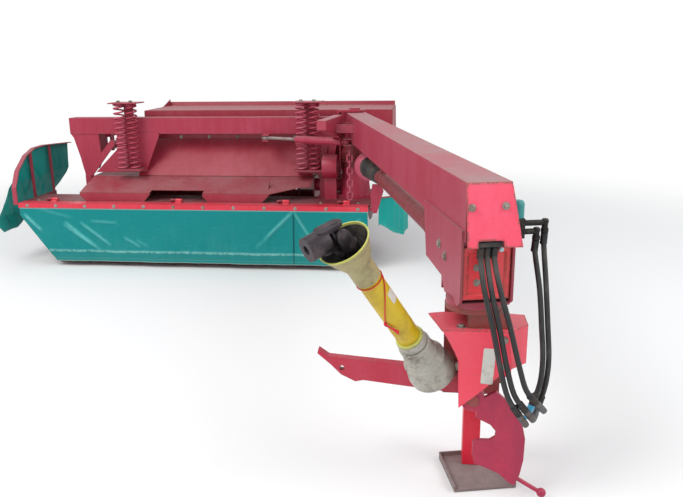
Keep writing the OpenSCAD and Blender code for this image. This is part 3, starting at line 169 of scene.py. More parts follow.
class Reading:
    """A value that varies over a surface. Sums and products of readings add the Math nodes for them."""

    def __init__(self, finish, socket):
        self.finish = finish
        self.socket = socket

    def maths(self, operation, *values):
        return self.finish.node("ShaderNodeMath", {"operation": operation}, values)

    def __add__(self, other):
        return self.maths("ADD", self, other)

    def __sub__(self, other):
        return self.maths("SUBTRACT", self, other)

    def __rsub__(self, other):
        return self.maths("SUBTRACT", other, self)

    def __mul__(self, other):
        return self.maths("MULTIPLY", self, other)

    def __truediv__(self, other):
        return self.maths("DIVIDE", self, other)

    def __pow__(self, other):
        return self.maths("POWER", self, other)

    __radd__ = __add__
    __rmul__ = __mul__

    def wave(self):
        return self.maths("SINE", self)

    def at_least(self, low):
        return self.maths("MAXIMUM", self, low)

    def at_most(self, high):
        return self.maths("MINIMUM", self, high)

    def step(self, low, high):
        """0 below low, 1 above high, and a smooth S between them."""
        kind = {"interpolation_type": "SMOOTHSTEP"}
        return self.finish.node("ShaderNodeMapRange", kind, {0: self, 1: low, 2: high})

    def band(self, middle, solid, gone):
        """1 up to solid away from the middle, 0 beyond gone away, and a smooth S between them."""
        away = self - middle
        return 1 - away.maths("ABSOLUTE", away).step(solid, gone)


class Finish:
    """A material as it is worked out: readings from its patterns, then the shader's sockets."""

    def __init__(self, name):
        self.material = bpy.data.materials.new(name)
        self.material.use_nodes = True
        self.tree = self.material.node_tree
        self.tree.nodes.clear()
        self.here = self.node("ShaderNodeTexCoord", output="Object")

    def node(self, kind, settings=None, inputs=(), output=0):
        """Adds a node: its settings first, then the values or links of its sockets."""
        node = self.tree.nodes.new(kind)
        for key, value in (settings or {}).items():
            if key == "stops":
                while len(node.color_ramp.elements) < len(value):
                    node.color_ramp.elements.new(0.5)
                for stop, (place, colour) in zip(node.color_ramp.elements, value):
                    stop.position, stop.color = place, (*colour, 1)
            else:
                setattr(node, key, value)
        for key, value in inputs.items() if isinstance(inputs, dict) else enumerate(inputs):
            if isinstance(value, Reading):
                self.tree.links.new(value.socket, node.inputs[key])
            elif isinstance(value, (tuple, list)) and node.inputs[key].type == "RGBA":
                node.inputs[key].default_value = (*value, 1)
            else:
                node.inputs[key].default_value = value
        return Reading(self, node.outputs[output])

    def noise(self, scale, detail=4.0, stretch=None, shift=(0, 0, 0), rough=0.55):
        """Cloudy noise of a number of blotches to the metre, drawn out where stretch is below 1."""
        place = self.here
        if stretch or any(shift):
            place = self.node("ShaderNodeMapping", {}, {0: place, 1: shift, 3: stretch or (1, 1, 1)})
        inputs = {"Vector": place, "Scale": scale, "Detail": detail, "Roughness": rough}
        return self.node("ShaderNodeTexNoise", {}, inputs)

    def mix(self, share, low, high):
        return self.node("ShaderNodeMix", {"data_type": "RGBA"}, {0: share, 6: low, 7: high}, 2)

    def bump(self, height, depth, strength=1.0, normal=None):
        inputs = {"Height": height, "Distance": depth, "Strength": strength}
        if normal:
            inputs["Normal"] = normal
        return self.node("ShaderNodeBump", {}, inputs)

    def axes(self, vector):
        """A vector's three numbers."""
        parts = self.tree.nodes.new("ShaderNodeSeparateXYZ")
        self.tree.links.new(vector.socket, parts.inputs[0])
        return [Reading(self, out) for out in parts.outputs]

    def lay(self):
        """The three numbers that a new piece holds for each of its points."""
        return self.axes(self.node("ShaderNodeAttribute", {"attribute_name": "lay"}, output="Vector"))

    def worn_edge(self, radius):
        """How much the surface turns within a radius: 0 on a flat sheet and near 1 on a sharp corner."""
        round_off = self.node("ShaderNodeBevel", {"samples": 4}, {"Radius": radius})
        flat = self.node("ShaderNodeNewGeometry", output="Normal")
        dot = {"operation": "DOT_PRODUCT"}
        return 1 - self.node("ShaderNodeVectorMath", dot, (round_off, flat), "Value")

    def painted(self, **sockets):
        sockets = {name.replace("_", " "): value for name, value in sockets.items()}
        return self.node("ShaderNodeBsdfPrincipled", {}, sockets)

    def shown(self, shader):
        output = self.tree.nodes.new("ShaderNodeOutputMaterial")
        self.tree.links.new(shader.socket, output.inputs[0])
        return self.material

    def done(self, **sockets):
        return self.shown(self.painted(**sockets))


def hose_rubber():
    """Black rubber with a fine wrapped weave, greyed by dust in patches."""
    f = Finish("hose_rubber")
    around, far, _ = f.lay()
    weave = ((far * 900 + around * 12.566).wave() + 1) / 2
    dust = f.noise(9, 5).step(0.45, 0.75)
    colour = f.mix(dust, (0.012, 0.012, 0.013), (0.07, 0.066, 0.06))
    return f.done(Base_Color=colour, Roughness=0.45 + dust * 0.3, Normal=f.bump(weave, 0.0004, 0.5))


# Each route's stops are in millimetres from the swivel's middle on the ground, right, back and up.
hose_finish = hose_rubber()
hose_d = 0.022
hose_stops = (
    ((9, -173, 1136), (9, -174, 1085), (24, -231, 975), (60, -258, 830), (94, -266, 670),
     (128, -260, 550), (176, -246, 470)),
    ((34, -167, 1136), (34, -168, 1085), (50, -227, 975), (85, -254, 830), (119, -263, 674),
     (153, -257, 560), (202, -240, 486)),
    ((62, -161, 1136), (62, -162, 1085), (84, -224, 978), (124, -250, 840), (166, -258, 680),
     (198, -250, 580), (242, -232, 520)),
    ((271, -7, 1158), (271, -9, 1105), (279, -66, 965), (288, -118, 800), (297, -136, 665),
     (291, -136, 555), (266, -144, 460)),
    ((237, -15, 1128), (237, -17, 1075), (254, -78, 940), (264, -124, 790), (273, -138, 670),
     (266, -152, 566), (236, -172, 480)))
hose_routes = [swivel + routed(stops) / 1000 for stops in hose_stops]
hoses = [build(f"hose_{number}_rubber", [tube(route, hose_d / 2)], hose_finish, "drawbar",
               stands_for=[f"hose_{number}"]) for number, route in enumerate(hose_routes, 1)]


def lathe(profile, base, axis, sides=40, loop=False):
    """A profile of radius and distance turned round an axis: each of its points becomes a circle across
    the axis. A profile that ends on the axis is closed there; loop joins its last point to its first."""
    profile = np.asarray(profile, float)
    axis = np.asarray(axis, float) / np.linalg.norm(axis)
    across = np.cross(axis, (0.31, 0.17, 0.94) if abs(axis[2]) < 0.9 else (1, 0, 0))
    across /= np.linalg.norm(across)
    other = np.cross(axis, across)
    turn = 2 * np.pi * np.arange(sides) / sides
    ring = np.cos(turn)[:, None] * across + np.sin(turn)[:, None] * other
    radius = np.maximum(profile[:, 0], 1e-5)
    points = np.asarray(base) + profile[:, 1, None, None] * axis + radius[:, None, None] * ring
    lay = np.stack(np.broadcast_arrays(turn / (2 * np.pi), distances(profile)[:, None], 0.0), -1)
    return skin(points, lay, around=True, caps=not loop, loop=loop)


def rounded_box(low, high, edge=0.003, placed=None):
    """A box with rolled edges: the rows are its outline at eight heights, each drawn in by the quarter
    circle that the edge's radius gives there, with its corners on quarter circles too. Placed carries
    its points into another frame, such as the drawbar's."""
    low, high = np.asarray(low, float), np.asarray(high, float)
    bend = np.radians((0, 30, 60, 90))
    drawn = edge * (1 - np.sin(bend))
    height = edge * (1 - np.cos(bend))
    inset = np.concatenate((drawn, drawn[::-1]))
    z = np.concatenate((low[2] + height, high[2] - height[::-1]))
    corner = np.radians(np.add.outer((0, 90, 180, 270), (0, 30, 60, 90)).ravel())
    side_x = np.repeat((1, -1, -1, 1), 4)
    side_y = np.repeat((1, 1, -1, -1), 4)
    middle, half = (low + high) / 2, (high - low) / 2
    x = middle[0] + side_x * (half[0] - edge) + np.outer(edge - inset, np.cos(corner))
    y = middle[1] + side_y * (half[1] - edge) + np.outer(edge - inset, np.sin(corner))
    points = np.stack(np.broadcast_arrays(x, y, z[:, None]), -1)
    if placed:
        points = placed(points)
    return skin(points, around=True, caps=True)


# The hoses' ferrules and couplers: black sleeves pressed in rings on the rubber, and quick couplers of
# turned steel, one of them under a blue dust cap.
def metal(name, colour, rough=0.35, stains=(0.12, 0.07, 0.045), stained=0.5):
    """Bare metal that is scuffed in fine scratches and stained in clouds."""
    f = Finish(name)
    clouds = f.noise(14, 5)
    stain = (clouds + f.noise(90, 3) * 0.3).step(0.62, 0.8) * stained
    scratch = f.noise(30, 4, (1, 1, 14), rough=0.7)
    return f.done(Base_Color=f.mix(stain, f.mix(scratch, colour, [c * 0.72 for c in colour]), stains),
                  Metallic=0.9 - stain * 0.8, Roughness=rough + clouds * 0.2 + stain * 0.3,
                  Normal=f.bump(scratch, 0.0002, 0.4))


def moulded(name, colour, dirt=(0.16, 0.13, 0.10), rough=0.42, dirty=0.6):
    """Moulded plastic: even in colour, greyed by ground-in dirt in clouds and dulled where it is dirty."""
    f = Finish(name)
    clouds = f.noise(7, 6, rough=0.65)
    grit = f.noise(60, 4, rough=0.7)
    film = (clouds * 0.75 + grit * 0.35).step(0.48, 0.78) * dirty
    return f.done(Base_Color=f.mix(film, colour, dirt), Roughness=rough + film * 0.4,
                  Normal=f.bump(grit, 0.0003, 0.35))


black_ferrule = metal("black_ferrule", (0.05, 0.05, 0.052), rough=0.4, stained=0.3)
dark_steel = metal("coupler_steel", (0.16, 0.16, 0.165), rough=0.35, stained=0.5)
blue_cap = moulded("blue_cap", (0.05, 0.38, 0.62), dirty=0.3)
ferrule = [(0, 0), (0.0135, 0), (0.015, 0.003)]
ferrule += [(0.0136 + 0.0014 * (k % 2), 0.006 + 0.005 * k) for k in range(8)]
ferrule += [(0.015, 0.046), (0.0125, 0.05), (0, 0.05)]
coupler = [(0, 0), (0.012, 0), (0.014, 0.002), (0.014, 0.018), (0.0115, 0.02), (0.0115, 0.026),
           (0.0138, 0.028), (0.0138, 0.05), (0.0125, 0.059), (0.009, 0.06), (0.009, 0.052), (0, 0.052)]
for number, (hose, route) in enumerate(zip(hoses, hose_routes), 1):
    last = (route[-1] - route[-2]) / np.linalg.norm(route[-1] - route[-2])
    sleeves = [lathe(ferrule, route[0] + (0, 0, 0.0005), route[1] - route[0], 20),
               lathe(ferrule, route[-1] + last * 0.0005, -last, 20)]
    build(f"hose_{number}_ferrules", sleeves, black_ferrule, "drawbar")
    build(f"hose_{number}_coupler", [lathe(coupler, route[-1] + last * 0.0008, last, 24)],
          blue_cap if number == 5 else dark_steel, "drawbar", stands_for=["hose_ends"])
    float(distances(route)[-1])


# Tap block: a cast valve body bolted to the neck's side, with two screwed elbows for the outer hoses
# and a large teal dust cap on its top.
black_iron = metal("greasy_iron", (0.035, 0.033, 0.031), rough=0.38, stains=(0.06, 0.045, 0.035))
teal_cap = moulded("teal_cap", (0.0, 0.27, 0.27), dirty=0.3)
bar_right = on_bar((1, 0, 0)) - on_bar((0, 0, 0))
neck_side, valve_v = 0.118, -3.855
block = [rounded_box((neck_side + 0.0003, valve_v - 0.03, 1.140), (neck_side + 0.0563, valve_v + 0.03, 1.222),
                     0.004, on_bar)]
for reach, top, end in ((0.144, 1.200, 1.160), (0.110, 1.165, 1.130)):
    arm, drop = reach - 0.046, top - end
    block.append(lathe([(0, 0), (0.012, 0), (0.012, arm - 0.006), (0.009, arm), (0, arm)],
                       on_bar((neck_side + 0.05, valve_v - 0.01, top)), bar_right, 20))
    block.append(lathe([(0, 0), (0.0145, 0), (0.0155, 0.002), (0.0155, 0.016), (0.0125, 0.018),
                        (0.0125, drop - 0.004), (0.0145, drop), (0.0145, drop + 0.010), (0.010, drop + 0.016),
                        (0, drop + 0.016)], on_bar((neck_side + reach, valve_v - 0.01, end)), (0, 0, 1), 24))
build("tap_block", block, black_iron, "drawbar", stands_for=["hose_valve"])
cap_ribs = [(0.030 - 0.0012 * (k % 2), 0.004 + 0.006 * k) for k in range(9)]
build("tap_cap", [lathe([(0, 0), (0.028, 0), *cap_ribs, (0.028, 0.062), (0.022, 0.069), (0, 0.070)],
                        on_bar((neck_side + 0.028, valve_v, 1.222)), (0, 0, 1), 32)],
      teal_cap, "drawbar")


# Sheet steel and frame: folded and welded plate in one red enamel, which has bleached towards pink,
# is paled on its upper faces by dust and a painted sheen of the sky, and is rubbed through along its
# edges. Edges are a little round.
def enamel(name, colour, bleached, rough=0.42, chips=0.5, dust=0.5, rust=(0.16, 0.075, 0.04)):
    """Sprayed enamel on sheet steel that has stood outside: bleached in clouds and in rain streaks, paled on
    its upper faces by dust and a painted sheen of the sky, rubbed through at its edges and chipped to brown
    steel in spots."""
    f = Finish(name)
    _, _, upward = f.axes(f.node("ShaderNodeTexCoord", output="Normal"))
    clouds = f.noise(1.6, 5, rough=0.6)
    streaks = f.noise(1.0, 4, (16, 16, 0.9))
    mottle = f.noise(38, 6, rough=0.7)
    fade = (clouds * 0.55 + streaks * 0.3 + mottle * 0.25).step(0.42, 0.72)
    tone = f.mix(fade, colour, bleached)
    # Dust and painted sky sheen: upward faces are paled towards a grey film, which also stands for the sky's
    # reflection.
    film = upward.step(0.55, 0.95) * (clouds * 0.6 + mottle * 0.5).step(0.35, 0.75) * dust
    tone = f.mix(film, tone, (0.30, 0.235, 0.225))
    edge = f.worn_edge(0.01).step(0.02, 0.16) * (mottle * 0.7 + clouds * 0.4).step(0.5, 0.62)
    patches = f.noise(2.4, 3, shift=(9, 2, 5)).step(0.5, 0.66)
    pits = f.noise(75, 3, shift=(3, 7, 1)).step(0.66, 0.7) * patches
    bare = (edge + pits * chips).at_most(1.0)
    tone = f.mix(bare, tone, rust)
    sheen = rough + film * 0.35 + bare * 0.3 + mottle * 0.08
    dents = f.bump(f.noise(3.2, 2), 0.006, 0.5)
    return f.done(Base_Color=tone, Roughness=sheen, Normal=f.bump(mottle - bare * 0.6, 0.0005, 0.6, dents))


def dress(names, finish, edge=0.003):
    """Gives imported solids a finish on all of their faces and, where edge isn't 0, rounds their edges."""
    for name in names.split():
        node = nodes[name]
        for held in node.material_slots:
            held.material = finish
        if edge:
            weld = node.modifiers.new("weld", "WELD")
            weld.merge_threshold = 0.00005
            rolled = node.modifiers.new("rolled_edges", "BEVEL")
            rolled.width = edge
            rolled.segments = 2
            rolled.limit_method = "ANGLE"
            rolled.angle_limit = math.radians(35)
            rolled.harden_normals = False


faded = enamel("faded_enamel", (0.31, 0.010, 0.036), (0.36, 0.032, 0.070), dust=0.5)
sloped = enamel("hood_enamel", (0.28, 0.010, 0.028), (0.33, 0.035, 0.058), dust=0.45, chips=1.0)
deck_red = enamel("deck_enamel", (0.15, 0.008, 0.016), (0.22, 0.028, 0.042), dust=0.3, chips=1.0)
bright = enamel("bright_enamel", (0.62, 0.014, 0.038), (0.64, 0.045, 0.08), rough=0.34, dust=0.2)
dark = enamel("dark_enamel", (0.16, 0.012, 0.016), (0.26, 0.05, 0.06), rough=0.55)
pink = enamel("pink_enamel", (0.42, 0.04, 0.085), (0.46, 0.11, 0.16), rough=0.5)
dress("hood_base hood", sloped, 0.0025)
dress("deck", deck_red, 0.0025)
dress("main_beam rear_rails left_leg right_leg spring_brackets pivot_fork shaft_cover", faded)
dress("side_arch curtain_bracket swath_boards", faded, 0.002)
dress("guard_lip", bright, 0.002)
dress("cutterbar disc_1 disc_2 disc_3 disc_4 disc_5 disc_6 disc_7 disc_8 rotor", dark, 0.001)
dress("axle_arms lift_barrel swing_barrel lower_gearbox", faded)


# Bolts: zinc-plated hexagon heads with a chamfered top, on a round washer, screwed through the plates.
# They hold the front curtain to its lip, and stand along the deck's top and along a ledge of the hood.
def bolts(places, axis, across=0.019, tall=0.011):
    """Hexagon heads at places, standing along an axis: a washer, six flats and a crown that is drawn in
    at a third of its height, each a ring of twelve points pushed out to the hexagon's corners."""
    axis = np.asarray(axis, float) / np.linalg.norm(axis)
    side_way = np.cross(axis, (0.31, 0.17, 0.94) if abs(axis[2]) < 0.9 else (1, 0, 0))
    side_way /= np.linalg.norm(side_way)
    other = np.cross(axis, side_way)
    turn = np.arange(12) * np.pi / 6
    flat = 1 / np.cos((turn + np.pi / 6) % (np.pi / 3) - np.pi / 6) * across / 2
    rings = ((across * 0.95, 0), (across * 0.95, 0.0022), (None, 0.0022), (None, tall - 0.002),
             (across * 0.46, tall), (0.00001, tall))
    radius = np.stack([flat if r is None else np.full(12, r) for r, _ in rings])
    height = np.array([h for _, h in rings])
    head = radius[..., None] * (np.cos(turn)[:, None] * side_way + np.sin(turn)[:, None] * other)
    head = head + height[:, None, None] * axis
    return [skin(np.asarray(place, float) + head, around=True, caps=True) for place in places]


zinc = metal("zinc_bolts", (0.40, 0.38, 0.34), rough=0.45, stains=(0.17, 0.08, 0.05), stained=0.8)
on_lip = [(x, 0, 0.5775) for x in np.linspace(-1.54, 1.54, 12)]
build("curtain_bolts", bolts(on_lip, (0, -1, 0), 0.017, 0.007), zinc, "front_guard")
deck_row = [(x, 0.142, 0.6003) for x in (-1.5, -1.33, -1.16, 1.19, 1.36, 1.53)]
build("deck_bolts", bolts(deck_row, (0, 0, 1)), zinc, "frame")
ledge = [(x, 0.7105, 1.137) for x in np.linspace(-0.55, 1.72, 9)]
build("hood_bolts", bolts(ledge, (0, -1, 0), 0.017), zinc, "frame")

# Weld seams: beads of filler laid where the beam, its legs and the fork meet, then painted over with
# the frame, so that only their ripples show.
def weld_bead(path, radius=0.005):
    """A bead from one place to another: a tube in steps of 3.5 mm whose radius swells and shrinks with
    each drop laid, a wave of one crest every thirteen millimetres."""
    start, end = np.asarray(path, float)
    steps = np.linspace(start, end, int(np.linalg.norm(end - start) / 0.0035) + 1)
    return tube(steps, radius * (1 + 0.14 * np.sin(np.arange(len(steps)) * 1.7)), 8)


seams = [weld_bead([(-1.262, 0.4795, 1.190), (-1.010, 0.4795, 1.190)]),
         weld_bead([(1.110, 0.4795, 1.190), (1.318, 0.4795, 1.190)]),
         weld_bead([(-1.188, 0.481, 0.6115), (-1.096, 0.481, 0.6115)]),
         weld_bead([(-0.70, 0.4735, 1.340), (-0.66, 0.4735, 1.340)]),
         weld_bead([(1.320, 0.4100, 1.150), (1.320, 0.6000, 1.150)])]
build("weld_seams", seams, faded, "frame")

# Coil springs: two pairs wound of round spring-steel wire, held between an upper and a lower bracket
# and sprayed with the frame. The left one of each pair takes a paler pink enamel as painted light, a lit
# copy of the other.
def helix(x):
    """A spring's middle line: turns of a circle that climb evenly, with the first and last three
    quarters of a turn laid nearly flat, between the lower and the upper bracket."""
    turns = 14
    t = np.linspace(0, 1, turns * 24 + 1)
    rise = np.clip((t - 0.75 / turns) / (1 - 1.5 / turns), 0, 1) * 0.85 + t * 0.15
    turn = 2 * np.pi * turns * t
    low, high = 0.870 + 0.0083, 1.478 - 0.0083
    return np.stack((x + 0.046 * np.cos(turn), 0.385 + 0.046 * np.sin(turn), low + (high - low) * rise), 1)


for name, middle in (("springs_left", -0.680), ("springs_right", 1.050)):
    # Painted light: coil a in the paler pink enamel, coil b in the frame's own.
    for letter, away, finish in (("a", -0.06, pink), ("b", 0.06, faded)):
        build(f"{name}_coil_{letter}", [tube(helix(middle + away), 0.008, 12)], finish, "frame",
              stands_for=[name])
caps_on = [(x + s * 0.06, 0.385, 1.4883) for x in (-0.680, 1.050) for s in (-1, 1)]
build("spring_nuts", bolts(caps_on, (0, 0, 1), 0.030, 0.018), zinc, "frame")

# Safety chain: eight welded links of 16 mm round bar, each turned a quarter from the last, hung from
# a lug under the drawbar and sprayed with it.
def chain_link(low, turned):
    """A link's middle line: two straight sides joined by two half circles, in an upright plane."""
    t = np.linspace(0, 2 * np.pi, 33)[:-1]
    across, up = 0.022 * np.cos(t), 0.022 * np.sin(t)
    up = up + np.where(up >= 0, 0.014, -0.014)
    flat = np.zeros_like(t)
    place = np.stack((flat, across, up) if turned else (across, flat, up), 1)
    return place + (1.455, 0.165, low)


links = [tube(chain_link(0.664 + 0.057 * k, k % 2), 0.008, 12, (1, 0.3, 0), True) for k in range(8)]
hanger = rounded_box((1.449, 0.153, 1.099), (1.461, 0.177, 1.1276), 0.002)
build("safety_chain_links", links + [hanger], pink, "drawbar", stands_for=["safety_chain"])

# Curtains: polyester cloth coated in teal plastic, hung from the guards by their tops. The lower hems
# are folded over and sewn. Scuffs pale the cloth in places, the ridges that stand out of it are painted
# pale as highlights, and its seam is painted dark as shade.
def cloth(name, colour, fold_highlights=0.0, dusty=0.3):
    """Coated cloth: a fine square weave, dust, pale scuffs, and a sewn hem. Fold highlights are painted as a
    pale crooked line a hand's breadth above the hem, with the cloth below it darker, and a pale band under
    the lip that holds it. Lay holds metres across, down and above the lower hem; crease is 1 on a ridge,
    painted pale as a highlight, and below 0 in a seam, painted dark as shade."""
    f = Finish(name)
    across, down, above = f.lay()
    weave = ((across * 2600).wave() + (down * 2600).wave()) / 4 + 0.5
    clouds = f.noise(3.5, 6, rough=0.62)
    fine = f.noise(26, 6, rough=0.7)
    rain = f.noise(1.0, 4, (22, 22, 1.3))
    dust = (clouds * 0.6 + fine * 0.35 + rain * 0.25 - above * 0.35).step(0.42, 0.78)
    scuff = f.noise(9, 5, (1, 1, 6), (4, 1, 2), rough=0.7).step(0.6, 0.74) * 0.4
    tone = f.mix(dust * dusty, colour, (0.06, 0.31, 0.30))
    tone = f.mix(scuff * (1 - above * 1.6).at_least(0.0), tone, (0.20, 0.50, 0.45))
    tone = f.mix((clouds * 1.6 - 0.95).at_least(0.0), tone, (0.0, 0.12, 0.11))
    crease = f.node("ShaderNodeAttribute", {"attribute_name": "crease"}, output="Fac")
    # Painted highlight on the crease ridges, then painted shade in the seam, where crease is below 0.
    tone = f.mix((crease * (fine + 0.15)).at_least(0.0), tone, (0.13, 0.50, 0.48))
    tone = f.mix((crease * -0.75).at_least(0.0), tone, (0.0, 0.045, 0.045))
    # Painted highlight along the fold a hand's breadth above the hem: a pale crooked line, with the cloth
    # below it darker.
    crooked = above + fine * 0.022 + clouds * 0.03 - 0.026
    low_strip = (1 - crooked.step(0.094, 0.100)) * fold_highlights
    tone = f.mix(low_strip * 0.4, tone, (0.02, 0.19, 0.175))
    broken = (fine * 0.8 + clouds * 0.3).step(0.40, 0.62)
    tone = f.mix(crooked.band(0.100, 0.003, 0.017) * broken * (fold_highlights * 0.65), tone, (0.26, 0.54, 0.50))
    # Painted highlight: a pale band just under the lip, where the cloth starts to bulge out.
    tone = f.mix(above.band(0.500, 0.003, 0.008) * (fold_highlights * 0.6), tone, (0.30, 0.58, 0.56))
    sewn = above.band(0.030, 0.0012, 0.0024) * (across * 700).wave().step(-0.2, 0.2)
    tone = f.mix(sewn * 0.5, tone, (0.30, 0.45, 0.42))
    edge = 1 - above.step(0.004, 0.010)
    tone = f.mix(edge * 0.8, tone, (0.36, 0.46, 0.42))
    rough = 0.42 + dust * 0.25 + fine * 0.1
    raised = weave * 0.25 + sewn * 0.9 + fine * 0.35
    raised = f.bump(raised, 0.0009, 0.55)
    return f.done(Base_Color=tone, Roughness=rough, Specular_IOR_Level=0.22, Normal=raised)


teal = cloth("teal_cloth", (0.0, 0.205, 0.205), fold_highlights=1.0)
green = cloth("green_cloth", (0.0, 0.30, 0.26), dusty=0.25)


def thicken(piece, thickness, offset=0):
    """Gives a sheet its thickness, with closed rims."""
    wall = piece.modifiers.new("cloth_thickness", "SOLIDIFY")
    wall.thickness = thickness
    wall.offset = offset


def ridge(x, y, ax, ay, bx, by, wide):
    """A crease's height over a sheet: a bell across the line from a to b, which fades at both ends."""
    dx, dy = bx - ax, by - ay
    long = np.hypot(dx, dy)
    share = ((x - ax) * dx + (y - ay) * dy) / long**2
    off = ((x - ax) * dy - (y - ay) * dx) / long
    return np.exp(-(off / wide) ** 2) * np.clip(1 - np.abs(2 * share - 1) ** 4, 0, 1)


# Front curtain: one long sheet bolted behind the front lip. A vertical lap seam near its right end
# gathers creases, the ends are cut slanting, and its lower hem just clears the ground.
rows, cols = 60, 420
curtain_top, lip_under, curtain_foot = 0.5945, 0.552, 0.050
t = np.linspace(0, 1, rows)[:, None]
s = np.linspace(0, 1, cols)[None]
z = curtain_top + (curtain_foot - curtain_top) * t
left = np.interp(z, (curtain_foot, 0.480, 0.6), (-1.310, -1.626, -1.626))
right = np.interp(z, (curtain_foot, 0.330, 0.6), (1.440, 1.626, 1.626))
x = left + (right - left) * s
depth = np.clip((lip_under - z) / 0.5, 0, 1)
free = np.clip(depth * 8, 0, 1)
ripple = np.sin(x * 31 + 4 * depth) * (0.4 + 0.6 * np.sin(x * 2.3 + 1))
waves = (0.50 * np.sin(x * 7.1 + 0.6) + 0.34 * np.sin(x * 15.7 + 1.1 + 2.2 * depth) + 0.22 * ripple
         + 0.16 * np.sin(x * 53 + 9 * depth))
y = 0.0078 + 0.0085 * depth**0.8 * waves
seam_x = 0.965
# crease: the ridges' heights, which the cloth paints pale as highlights, and below 0 in the seam, painted
# dark as shade.
crease = np.zeros_like(x)
for ax, az, bx, bz, tall, wide in (
        (seam_x, 0.55, 0.69, 0.284, 0.010, 0.013), (seam_x, 0.55, 1.107, 0.31, 0.009, 0.012),
        (0.72, 0.30, 0.60, 0.20, 0.003, 0.014),
        (-1.20, 0.43, -0.90, 0.19, 0.010, 0.012), (-1.05, 0.43, -0.76, 0.20, 0.009, 0.012),
        (-1.22, 0.41, -0.86, 0.15, 0.008, 0.011), (-1.59, 0.50, -1.42, 0.33, 0.011, 0.014),
        (-0.95, 0.435, -0.68, 0.42, 0.005, 0.012), (-0.64, 0.29, -0.47, 0.19, 0.006, 0.012),
        (-1.45, 0.55, -1.10, 0.46, 0.003, 0.013), (-0.52, 0.27, -0.40, 0.19, 0.003, 0.014),
        (1.56, 0.50, 1.40, 0.22, 0.008, 0.014)):
    height = ridge(x, z, ax, az, bx, bz, wide) * (depth > 0)
    y = y - 1.5 * tall * height
    crease = crease + height * tall / 0.010
seam_line = seam_x - 0.010 * depth
y = y + 0.0045 * np.exp(-((x - seam_line) / 0.007) ** 2) * free
y = y - 0.0035 * np.exp(-((x - seam_line - 0.016) / 0.007) ** 2) * free
y = y - 0.0030 * np.exp(-((z - 0.150 - 0.005 * np.sin(x * 5.3)) / 0.007) ** 2)
crease = np.clip(crease, 0, 1) - 1.6 * np.exp(-((x - seam_line) / 0.006) ** 2) * free
points = np.stack(np.broadcast_arrays(x, y, z), -1)
lay = np.stack(np.broadcast_arrays(x, curtain_top - z, z - curtain_foot), -1)
front = build("front_curtain_cloth", [skin(points, lay)], teal, "front_guard",
              stands_for=["front_curtain"])
front.data.attributes.new("crease", "FLOAT", "POINT")
front.data.attributes["crease"].data.foreach_set("value", crease.ravel())
thicken(front, 0.0022)

# Left canvas: hung over the arch at the machine's left end, it bulges out below and is bundled in
# heavy folds towards the front corner.
arch = np.array(((0.010, 0.600), (0.014, 0.735), (0.095, 0.878), (0.255, 0.998), (0.420, 1.050),
                 (0.600, 1.058), (1.140, 1.028)))
foot = np.array(((0.005, 0.360), (0.060, 0.300), (0.180, 0.300), (0.300, 0.300), (0.620, 0.425),
                 (0.940, 0.550), (1.110, 0.730)))
rows, cols = 90, 150
s = np.linspace(0, 1, cols)
far_top, far_foot = distances(arch), distances(foot)
top = np.stack([np.interp(s, far_top / far_top[-1], arch[:, k]) for k in (0, 1)], -1)
low = np.stack([np.interp(s, far_foot / far_foot[-1], foot[:, k]) for k in (0, 1)], -1)
t = np.linspace(0, 1, rows)[:, None]
y = top[:, 0] + (low[:, 0] - top[:, 0]) * t
z = top[:, 1] + (low[:, 1] - top[:, 1]) * t
x = np.interp(z, (0.29, 0.450, 0.610, 0.780, 1.1), (-1.8475, -1.8475, -1.760, -1.6835, -1.6835))
slack = np.clip((0.80 - z) / 0.25, 0, 1) * 0.75
slack = slack + 0.25 * np.clip((z - 0.5) / 0.2, 0, 1) * np.clip(t * 6, 0, 1)
folds = (0.5 * np.sin(y * 17 + 5 * z) + 0.35 * np.sin(y * 34 - 9 * z + 1) + 0.25 * np.sin(y * 61 + 14 * z)
         + 0.3 * np.sin(z * 40 + 6 * y) * np.exp(-((z - 0.70) / 0.12) ** 2))
x = x + 0.011 * slack * folds
for ay, az, by, bz, tall, wide in (
        (0.02, 0.75, 0.30, 0.45, 0.016, 0.022), (0.10, 0.86, 0.50, 0.50, 0.014, 0.020),
        (0.30, 0.98, 0.70, 0.60, 0.012, 0.020), (0.02, 0.60, 0.22, 0.36, 0.014, 0.018)):
    x = x - tall * ridge(y, z, ay, az, by, bz, wide)
points = np.stack((x, y, z), -1)
lay = np.stack(np.broadcast_arrays(y, 1.06 - z, (1 - t) * 0.6), -1)
canvas = build("left_canvas_cloth", [skin(points, lay, flip=True)], green, "frame",
               stands_for=["canvas_left"])
thicken(canvas, 0.0022)

# Right canvas: hung from the rail that bends out from the deck's right end. Its folds deepen towards
# its foot, which is cut slanting.
plan = np.array(((1.700, 0.010), (1.850, 0.120), (1.935, 0.300), (1.960, 0.500), (1.960, 0.698)))
rows, cols = 60, 150
far = distances(plan)
s = np.linspace(0.03, 1, cols)
path = np.stack([np.interp(s, far / far[-1], plan[:, k]) for k in (0, 1)], -1)
run = np.gradient(path, axis=0)
run /= np.linalg.norm(run, axis=1)[:, None]
out = np.stack((run[:, 1], -run[:, 0]), -1)
foot_z = np.interp(path[:, 0], (1.740, 1.920), (0.430, 0.290))
t = np.linspace(0, 1, rows)[:, None]
rail_z = 0.6712
z = rail_z + (foot_z - rail_z) * t
far_s = s * far[-1]
folds = 0.6 * np.sin(far_s * 22) + 0.4 * np.sin(far_s * 47 + 3 * t) + 0.3 * np.sin(far_s * 75)
push = 0.010 * t**0.8 * folds
x = path[:, 0] + out[:, 0] * push
y = path[:, 1] + out[:, 1] * push
points = np.stack((x, y, z), -1)
lay = np.stack(np.broadcast_arrays(far_s, rail_z - z, z - foot_z), -1)
canvas = build("right_canvas_cloth", [skin(points, lay)], green, "frame",
               stands_for=["canvas_right"])
thicken(canvas, 0.0022)

